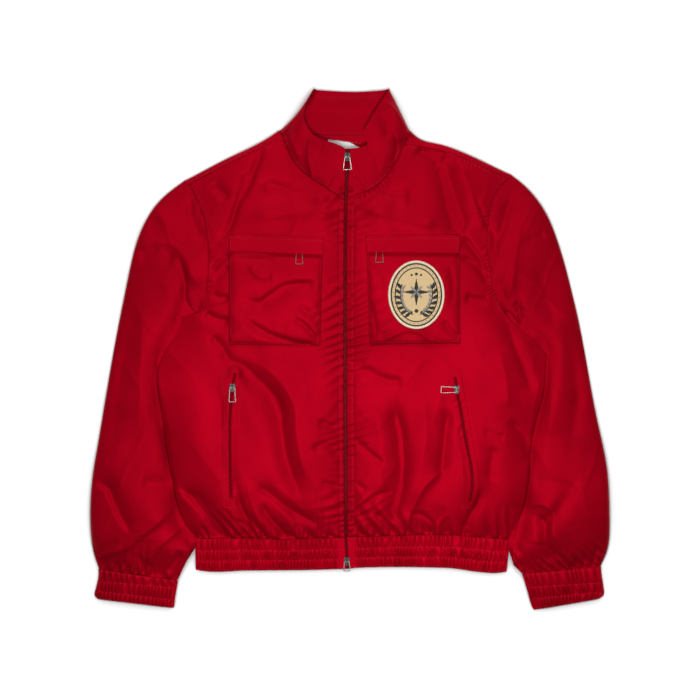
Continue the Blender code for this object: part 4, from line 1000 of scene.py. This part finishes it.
# Columns: left x, y, right x, y, height, from the seam to the edge
CUFF = {
    "right": [(-377.2, -329.8, -258.2, -347, 8.6), (-377.5, -342, -258.5, -352, 9),
              (-381, -358, -262, -372, 9), (-383, -370.5, -263.5, -386, 8.5),
              (-379, -375, -264.5, -388.5, 7)],
    "left": [(259.3, -337, 377.8, -326, 8.6), (262, -345, 379, -338, 9), (268, -365, 381.5, -355, 9),
             (273.5, -384, 381.5, -370, 8.5), (277, -391.5, 376, -374.5, 7)],
}
CHANNEL_LINES = (0.0, 0.38, 0.69, 1.0)  # the stitched lines across a band, from its seam to its edge
HEM_FOLDS, CUFF_FOLDS = 4.6, 6.0  # from one gather to the next
HEM_SEEDS, CUFF_SEEDS = {"right": 50, "left": 70}, {"right": 90, "left": 110}
HEM_GRID, CUFF_GRID, CUFF_UNDER = (44, 320), (44, 190), 14  # rows and columns of points, and columns below
HEM_WALL, HEM_THINNEST, HEM_INSIDE = 3.0, 0.8, 3.3  # thickness, the least, and how low the inside may come
CUFF_WIDE, CUFF_WALL, CUFF_BELOW = 119.0, 1.4, 1.2  # width, and thickness above and below the hand's way


def shirring(s, v, spacing, seed):
    """Gathers across a band, from -1 to 1: one set of folds in each channel, held flat at each stitched line.
    s is the distance along the band, and v goes from 0 at its seam to 1 at its edge."""
    waves = np.zeros(np.broadcast(s, v).shape)
    for k, (low, high) in enumerate(zip(CHANNEL_LINES[:-1], CHANNEL_LINES[1:])):
        share = (v - low) / (high - low)
        inside = (share >= 0) & (share <= 1)
        pitch = spacing * (1.7 if k == 0 else 1.0)  # the broad channel at the seam has broader folds
        lean = 2.6 * noise(s, 40.0 * v, 26, seed + 7 * k)
        phase = (s + lean) / pitch + 0.9 * noise(s, s * 0 + 60 * k, 2.2 * pitch, seed + 2)
        fold = np.abs(np.sin(math.pi * phase)) ** 0.8 * 2 - 1
        held = np.sin(math.pi * np.clip(share, 0, 1)) ** 0.55
        strength = 1.0 + 0.4 * drift(s, 2.3 * pitch, seed + 3 + k)
        waves = np.where(inside, held * (fold * strength + 0.25) - 0.25, waves)
    return waves


def hem_half(side):
    """One front half of the hem band: gathered outside and plain inside, with a flat end at the zip."""
    rows, count = HEM_GRID
    places, v = np.linspace(0, 1, count), np.linspace(0, 1, rows)[:, None]
    top, bottom = resampled(HEM_TOP[side], places), resampled(HEM_BOTTOM[side], places)
    top[:, 1] -= 0.3
    grid = (1 - v[..., None]) * top + v[..., None] * bottom
    s = np.concatenate([[0], np.cumsum(np.linalg.norm(np.diff(top[:, :2], axis=0), axis=1))])
    waves = cloth().gather / MM * shirring(s[None, :], v, HEM_FOLDS, HEM_SEEDS[side])
    puffed = np.sin(math.pi * v) ** 0.4
    outer, inner, level = grid.copy(), grid.copy(), grid[..., 2]
    side_end = soft((s[-1] - s) / 5)
    outer[..., 2] = (level + ramp(s, 9, 8) * (waves + puffed) - 0.2) * side_end + (1 - side_end) * level
    inner[..., 2] = np.minimum(np.maximum(level - HEM_WALL, HEM_INSIDE), outer[..., 2] - HEM_THINNEST)
    return walled(f"hem_band_{side}", outer, inner, cells(rows, count))


def cuff_tube(side):
    """A cuff: a flat tube, gathered on its upper side."""
    rows, count = CUFF_GRID
    s, v, under = np.linspace(0, 1, count), np.linspace(0, 1, rows), np.linspace(0.97, 0.03, CUFF_UNDER)
    dome = (1 - np.abs(2 * s - 1) ** 6) ** 0.5
    if side == "left":  # its inner end is pressed flat
        dome = dome * (0.45 + 0.55 * ramp(s, 0.02, 0.2))
    ends = soft(s / 0.03) * soft((1 - s) / 0.03)
    rings, bores = [], []
    for share, (ax, ay, bx, by, height) in zip(v, resampled(CUFF[side], v)):
        a, b = np.array((ax, ay, 0.0)), np.array((bx, by, 0.0))
        folds = shirring(s * CUFF_WIDE, np.full(count, share), CUFF_FOLDS, CUFF_SEEDS[side])
        top = a + s[:, None] * (b - a)
        top[:, 2] = height * (0.42 + 0.58 * dome) + ends * (cloth().gather / MM * folds + 0.4)
        rings.append(np.concatenate([top, a + under[:, None] * (b - a)]))
        bore = rings[-1].copy()
        bore[:count] = a + np.clip(s, 0.02, 0.98)[:, None] * (b - a)
        bore[:count, 2] = np.minimum(2.1 + 1.2 * dome, top[:, 2] - CUFF_WALL)
        bore[count:, 2] = CUFF_BELOW
        bores.append(bore)
    faces = cells(rows, count + CUFF_UNDER, closed=True)
    return walled(f"cuff_{side}", np.array(rings), np.array(bores), faces)


class JACKET_OT_hem(bpy.types.Operator):
    """Make the shirred hem band"""

    bl_idname = "jacket.hem"
    bl_label = "Hem band"

    def execute(self, context):
        slot, held = "red_shirred_nylon", "gathered"
        for side in SIDES:
            # The front halves of the hem at 1.22 of the colour are painted light, a lighter copy of the
            # shirred nylon.
            declare(hem_half(side), f"hem_band_{side}", shirred(1.22))
        clothe("hem_band_back", "rest", shirred(), (0.47, 0.055), slot, held, levels=1, cuts=0)
        return {"FINISHED"}


class JACKET_OT_cuffs(bpy.types.Operator):
    """Make the shirred cuffs"""

    bl_idname = "jacket.cuffs"
    bl_label = "Cuffs"

    def execute(self, context):
        for side in SIDES:
            declare(cuff_tube(side), f"cuff_{side}", shirred())
        return {"FINISHED"}


# ---- sewing ----


class Top:
    """The upper side of what has been made so far, in millimetres."""

    def __init__(self):
        graph = bpy.context.evaluated_depsgraph_get()
        made = [obj for obj in bpy.context.scene.objects if obj.name.endswith("_cloth")]
        self.trees = [BVHTree.FromObject(obj, graph) for obj in made]

    def height(self, x, y):
        hits = [tree.ray_cast(Vector((x, y, HIGH)) * MM, DOWN)[0] for tree in self.trees]
        return max((hit.z / MM for hit in hits if hit is not None), default=0.0)


def across_band(top, bottom, share):
    """A line across a gathered band, from the tables of its two edges."""
    places = np.linspace(0, 1, 12)
    return ((1 - share) * resampled(top, places) + share * resampled(bottom, places))[:, :2]


def cuff_line(side, share):
    """A line across a cuff, a little short of its folded edges."""
    ax, ay, bx, by, _ = resampled(CUFF[side], [share])[0]
    a, b = np.array((ax, ay)), np.array((bx, by))
    return np.array([a + t * (b - a) for t in (0.05, 0.35, 0.65, 0.95)])


# Stitched lines: places read from above, and how far to the left of their run they are sewn, in millimetres
SEWN = [
    *[(line, -2.2) for line in SHOULDER_SEAMS],
    *[(line, 2.4 if k == 0 else -2.4) for k, line in enumerate(ARMHOLES)],
    *[(ZIP_EDGE, distance) for distance in (11.5, 4.6, -4.4, -8.2)],
    ([(231.5, 237.5), (260, 239), (300, 240.5), (322, 241.5)], 0),
    ([(367, 240), (400, 239.5), (430, 239.5), (458, 239)], 0),
    ([(231.5, 238), (231, 250)], 0),
    ([(322, 241.5), (321.7, 254)], 0),
    ([(367, 240), (368, 251)], 0),
    ([(458, 239), (457.3, 252)], 0),
    ([(231, 258), (231.3, 300), (231.5, 343.5)], 0),
    ([(231.5, 343.5), (275, 344), (319, 344)], 0),
    ([(319, 344), (320, 300), (321.3, 258)], 0),
    ([(367.5, 257), (369, 300), (371, 343)], 0),
    ([(371, 343), (415, 342.5), (459, 341.5)], 0),
    ([(459, 341.5), (458.5, 300), (457.8, 257)], 0),
    ([(237, 371), (226, 371.5), (225, 400), (224.7, 450), (225, 507)], 0),
    ([(225, 507), (237.5, 506.5)], 0),
    ([(452, 374), (447.5, 376), (451, 400), (457, 440), (461.5, 475), (461.5, 506)], 0),
    ([(461.5, 506), (473, 508)], 0),
    ([(316, 95.5), (330, 96.5), (350, 96.5), (384, 94.5)], 0),
    ([(316, 97.8), (330, 98.8), (350, 98.8), (384, 96.8)], 0),
    ([(311, 98), (305.5, 109.5), (305.2, 119), (307.5, 126.5), (314.5, 134.8), (328, 140)], 0),
    ([(314, 131.5), (335, 132.8), (361, 132.8)], 0),
    ([(377.5, 104), (372, 115), (364, 133)], 0),
    ([(283, 131), (288, 145), (294, 159), (300, 167), (309, 174.5), (318, 181.5), (328, 186),
      (337, 192.5)], 0),
    ([(408, 134), (393, 163), (382, 179), (373, 185), (364, 191), (356, 192)], 0),
]
BAND_LINES = (0.05, *CHANNEL_LINES[1:-1], 0.95)
# The rings of a stitch. Columns: place from one end to the other, share of the thread's thickness, rise
STITCH_RINGS = ((-1, 0.5, -0.5), (-0.6, 1, 0.45), (0.6, 1, 0.45), (1, 0.5, -0.5))
STITCH_SIDES = 5


class JACKET_OT_sewing(bpy.types.Operator):
    """Make the stitches of every seam, each a short length of thread that dips into the cloth at its ends"""

    bl_idname = "jacket.sewing"
    bl_label = "Sewing"

    def execute(self, context):
        top, size = Top(), cloth()
        lines = [moved_aside(rounded(at(line), 4.0), aside) for line, aside in SEWN]
        for side in SIDES:
            lines += [across_band(HEM_TOP[side], HEM_BOTTOM[side], share) for share in BAND_LINES]
            lines += [cuff_line(side, share) for share in BAND_LINES]
        half, radius = 0.5 * size.stitch / MM, 0.5 * size.thread / MM
        turns = [2 * math.pi * a / STITCH_SIDES for a in range(STITCH_SIDES)]
        up = np.array((0, 0, 1.0))
        points, faces = [], []
        for line in lines:
            line = rounded(line, 1.3 * size.stitch / MM)
            for spot, ahead in zip(line, headings(line)):
                ends = [np.array((*(spot + k * half * ahead), 0)) for k in (-1, 1)]
                for end in ends:
                    end[2] = top.height(end[0], end[1])
                centre, reach = (ends[0] + ends[1]) / 2, (ends[1] - ends[0]) / 2
                if abs(reach[2]) > 1.5 * half:  # it would hang over the edge of a piece
                    continue
                across = np.array((ahead[1], -ahead[0], 0))
                faces += bar_faces(len(points), STITCH_SIDES)
                points += [centre + share * reach + radius * wide * math.cos(turn) * across
                           + radius * (lift + wide * math.sin(turn)) * up
                           for share, wide, lift in STITCH_RINGS for turn in turns]
        obj = object_of("seam_stitches", points, faces)
        paint(obj, spun_thread())
        return {"FINISHED"}


# ---- the patch and the label ----
PATCH_CENTRE, PATCH_SIZE = np.array((99.5, 81.5)), np.array((84.0, 102.0))
# The section of a row of stitching. Columns: share of its half width, share of its rise
SATIN_SECTION = ((-1, -0.5), (-1, 0.15), (-0.6, 0.6), (0, 0.8), (0.6, 0.6), (1, 0.15), (1, -0.5))
STAR_POINTS, STAR_LONG, STAR_SHORT, STAR_HALF, STAR_RISE = 8, 20.0, 12.5, 3.9, 4
RING, INNER_RING, BEAD_RING, BEADS = (37.3, 46.3, 1.1), (31.5, 40, 0.8), (33.5, 42.2), 36
SPRIG_WIDE, SPRIG_TALL = 24.0, 31
DOTS = ((0, -24, 3.0), (-7.5, -26, 2.0), (7.5, -26, 2.0), (0, 31, 2.4), (-7, 29.5, 1.7), (7, 29.5, 1.7))


def raised(spots, ring, top):
    """One row of stitching laid on the patch: a domed strip along a line, or round a ring. spots has x, y and
    half width."""
    spots = np.asarray(spots, float)
    line, wide = spots[:, :2] + PATCH_CENTRE, spots[:, 2]
    run = np.roll(line, -1, axis=0) - np.roll(line, 1, axis=0) if ring else np.gradient(line, axis=0)
    run /= np.linalg.norm(run, axis=1)[:, None]
    points = []
    for spot, half, (dx, dy) in zip(line, wide, run):
        for share, rise in SATIN_SECTION:
            x, y = spot + share * half * np.array((-dy, dx))
            points.append((x, y, top.height(x, y) + rise * min(1.0, 0.35 + 0.5 * half)))
    count, width = len(line), len(SATIN_SECTION)
    faces = []
    for i in range(count if ring else count - 1):
        a, b = i * width, (i + 1) % count * width
        faces += [(a + j, b + j, b + (j + 1) % width, a + (j + 1) % width) for j in range(width)]
    if not ring:
        faces += [tuple(range(width)), tuple(count * width - 1 - n for n in range(width))]
    return points, faces


def oval(rx, ry, half, count=120):
    turn = np.linspace(0, 2 * math.pi, count, endpoint=False)
    return np.stack([rx * np.cos(turn), ry * np.sin(turn), np.full(count, half)], axis=1)


def leaf(x, y, angle, length, half, count=9):
    """A leaf from its stalk's end, in a direction in degrees."""
    t = np.linspace(0, 1, count)
    turn = math.radians(angle) + 0.35 * (t - 0.5)
    return np.stack([x + length * t * np.cos(turn), y + length * t * np.sin(turn),
                     half * np.sin(math.pi * np.clip(t, 0.03, 0.97)) ** 0.8], axis=1)


def motifs():
    """What is embroidered: a compass star between two sprigs, in a double ring with beads. Black rows, then
    grey ones, each with whether it is a ring."""
    black, grey = [(oval(*RING), True), (oval(*INNER_RING), True)], []
    for k in range(STAR_POINTS):
        turn = math.radians(360 / STAR_POINTS * k + 90)
        reach = STAR_SHORT if k % 2 else STAR_LONG
        t = np.linspace(0, 1, 8)
        spine = [reach * t * np.cos(turn), STAR_RISE + reach * t * np.sin(turn), STAR_HALF * (1 - t) + 0.25]
        (grey if k % 2 else black).append((np.stack(spine, axis=1), False))
    for sign in (-1, 1):
        arc = [math.radians(-90 + sign * a) for a in np.linspace(12, 118, 24)]
        stem = np.array([(SPRIG_WIDE * math.cos(a), 1 + SPRIG_TALL * math.sin(a), 0.8) for a in arc])
        black.append((stem, False))
        for x, y, _ in stem[2:23:3]:
            way = math.degrees(math.atan2(y - 1, x)) + sign * 90
            black.append((leaf(x, y, way - sign * 44, 10.5, 2.5), False))
            grey.append((leaf(x, y, way + sign * 42, 9.0, 2.0), False))
    for k in range(BEADS):
        turn = 2 * math.pi * (k + 0.5) / BEADS
        x, y = BEAD_RING[0] * math.cos(turn), BEAD_RING[1] * math.sin(turn)
        grey.append((leaf(x, y, math.degrees(turn), 1.8, 0.9, 5), False))
    black += [(leaf(x - size, y, 0, 2 * size, size), False) for x, y, size in DOTS]
    return black, grey


class JACKET_OT_label(bpy.types.Operator):
    """Make the blank woven label at the back of the neck"""

    bl_idname = "jacket.label"
    bl_label = "Neck label"

    def execute(self, context):
        satin = satin_stitch("polyester_satin_woven", colours().label, 0.6)
        clothe("neck_label", "wall", satin, (0.05, 0.02), slot="white_woven_label", on="back_panel", cuts=1,
               wall=1.0)
        return {"FINISHED"}


class JACKET_OT_patch(bpy.types.Operator):
    """Make the felt patch on the left chest pocket"""

    bl_idname = "jacket.patch"
    bl_label = "Felt patch"

    def execute(self, context):
        clothe("patch", "wall", pressed_felt(), (0.084, 0.102), slot="cream_felt", on="pocket_left", cuts=1,
               wall=2.1, pocket=True)
        top = Top()
        black, grey = motifs()
        rim = [(oval(*(PATCH_SIZE / 2 - 1.6), 1.9, 160), True)]
        for name, strips, code in (("border", rim, colours().border), ("black", black, colours().embroidery),
                                   ("grey", grey, colours().silver)):
            points, faces = [], []
            for spots, ring in strips:
                more, sides = raised(spots, ring, top)
                faces += [tuple(len(points) + k for k in face) for face in sides]
                points += more
            piece = object_of(f"patch_{name}", points, faces)
            paint(piece, satin_stitch(f"rayon_satin_stitch_{name}", code))
        return {"FINISHED"}


# ---- zips and hardware ----
# The middle of the zip's chain, in millimetres on the jacket: x, y, z
ZIP_CHAIN = [(-2.4, -329, 6.3), (-3.8, -305, 7.3), (-5.4, -281, 8.7), (-5.5, -254, 11.7), (-5.7, -173, 11.2),
             (-6.5, -92, 10.2), (-6.5, 0, 10.2), (-6.5, 110, 10.2), (-6, 190, 9.7), (-5.4, 225, 9.7),
             (-4, 262, 14.1), (-2.3, 300, 18.7)]
COIL_HALF, COIL_RISE, COIL_SIDES = 1.9, 0.15, 6
COIL_RINGS = ((-1, 0.35), (-0.6, 0.75), (0.6, 0.75), (1, 0.35))  # columns: place from end to end, thickness


def coil(name, line):
    """The two interlocked coils of a closed zip: short rounded bars, lying across the line in turn."""
    line = rounded(line, cloth().tooth / MM)
    turns = [2 * math.pi * a / COIL_SIDES for a in range(COIL_SIDES)]
    points, faces = [], []
    for k, (centre, ahead) in enumerate(zip(line, headings(line))):
        across = np.array((ahead[1], -ahead[0], 0))
        shift = 0.25 if k % 2 else -0.25
        faces += [face[::-1] for face in bar_faces(len(points), COIL_SIDES)]  # rings run the other way
        points += [centre + across * COIL_HALF * (0.8 * share + shift) + ahead * size * 0.8 * math.cos(turn)
                   + np.array((0, 0, COIL_RISE + size * 0.7 * math.sin(turn)))
                   for share, size in COIL_RINGS for turn in turns]
    return object_of(name, points, faces)


class JACKET_OT_front_zip(bpy.types.Operator):
    """Make the coil of the front zip, and finish its tape"""

    bl_idname = "jacket.front_zip"
    bl_label = "Front zip"

    def execute(self, context):
        paint(frame["nodes"]["main_zip"], woven_tape())
        obj = coil("front_zip_coil", ZIP_CHAIN)
        paint(obj, moulded_coil())
        return {"FINISHED"}


class JACKET_OT_hardware(bpy.types.Operator):
    """Finish the sliders and the wire pull tabs"""

    bl_idname = "jacket.hardware"
    bl_label = "Sliders and pull tabs"

    def execute(self, context):
        for name, obj in frame["nodes"].items():
            if name.startswith("slider_"):
                paint(obj, plated("zinc_plated_dark", colours().slider, 0.4))
                bevel = obj.modifiers.new("worn edges", "BEVEL")
                bevel.width, bevel.segments = 0.3 * MM, 2
            if name.startswith("pull_"):
                paint(obj, plated("nickel_plated_wire", colours().metal, 0.42))
                for face in obj.data.polygons:
                    face.use_smooth = True
        return {"FINISHED"}


# ---- stage ----
FLOOR_HALF, FLOOR_DROP = 40.0, 0.4 * MM  # half its width, and how far it lies below the jacket
# Columns: the light's name, its place, what it aims at, its width (m)
LAMPS = [("key", (0.05, 3.0, 2.2), (0, 0, 0), 1.2), ("overhead", (0.0, -0.12, 1.1), (0, -0.12, 0), 0.33)]
SENSOR = 36.0  # millimetres
IN_FOCUS = 10 * MM  # the height at which the span in view is measured


class JACKET_OT_stage(bpy.types.Operator):
    """Make the floor, the light and the camera"""

    bl_idname = "jacket.stage"
    bl_label = "Stage"

    def execute(self, context):
        scene, values = context.scene, studio()
        mesh = bpy.data.meshes.new("floor")
        around_it = ((-1, -1), (1, -1), (1, 1), (-1, 1))
        corners = [(x * FLOOR_HALF, y * FLOOR_HALF, -FLOOR_DROP) for x, y in around_it]
        mesh.from_pydata(corners, [], [(0, 1, 2, 3)])
        floor = bpy.data.objects.new("floor", mesh)
        scene.collection.objects.link(floor)
        paint(floor, floor_glow_painted_shadow())
        for name, place, aim, size in LAMPS:
            lamp = bpy.data.lights.new(name, "AREA")
            lamp.energy, lamp.size, lamp.shape = getattr(values, name), size, "DISK"
            obj = bpy.data.objects.new(name, lamp)
            obj.location = place
            obj.rotation_euler = (Vector(aim) - obj.location).to_track_quat("-Z", "Y").to_euler()
            obj.visible_camera = False
            scene.collection.objects.link(obj)
        world = bpy.data.worlds.new("studio")
        world.use_nodes = True
        sky = world.node_tree.nodes["Background"]
        sky.inputs["Color"].default_value = (1, 1, 1, 1)
        sky.inputs["Strength"].default_value = values.sky
        scene.world = world
        camera = bpy.data.cameras.new("camera")
        camera.lens, camera.sensor_width = values.lens, SENSOR
        eye = bpy.data.objects.new("camera", camera)
        eye.location = (0.5 * STEP * MM, -0.5 * STEP * MM, values.span * values.lens / SENSOR + IN_FOCUS)
        scene.collection.objects.link(eye)
        scene.camera = eye
        scene.view_settings.view_transform = "Standard"
        scene.view_settings.look = "None"
        return {"FINISHED"}


OPERATORS = [
    JACKET_OT_stage, JACKET_OT_fronts, JACKET_OT_back, JACKET_OT_sleeves, JACKET_OT_collar, JACKET_OT_pockets,
    JACKET_OT_hand_pockets, JACKET_OT_hem, JACKET_OT_cuffs, JACKET_OT_front_zip, JACKET_OT_hardware,
    JACKET_OT_label, JACKET_OT_patch, JACKET_OT_sewing,
]


class JACKET_PT_panel(bpy.types.Panel):
    """Lists what can be made, and its sizes and colours"""

    bl_label = "Jacket"
    bl_idname = "JACKET_PT_panel"
    bl_space_type = "VIEW_3D"
    bl_region_type = "UI"
    bl_category = "Jacket"

    def draw(self, context):
        for operator in OPERATORS:
            self.layout.operator(operator.bl_idname)
        for group in (cloth(), colours(), studio()):
            box = self.layout.box()
            for key in group.__annotations__:
                box.prop(group, key)


CLASSES = [JacketCloth, JacketColours, JacketStudio, *OPERATORS, JACKET_PT_panel]


def register():
    for made in CLASSES:
        bpy.utils.register_class(made)
    bpy.types.Scene.jacket_cloth = PointerProperty(type=JacketCloth)
    bpy.types.Scene.jacket_colours = PointerProperty(type=JacketColours)
    bpy.types.Scene.jacket_studio = PointerProperty(type=JacketStudio)


def unregister():
    del bpy.types.Scene.jacket_cloth, bpy.types.Scene.jacket_colours, bpy.types.Scene.jacket_studio
    for made in reversed(CLASSES):
        bpy.utils.unregister_class(made)


def main():
    register()
    for operator in OPERATORS:
        group, name = operator.bl_idname.split(".")
        getattr(getattr(bpy.ops, group), name)()


if __name__ == "__main__":
    main()
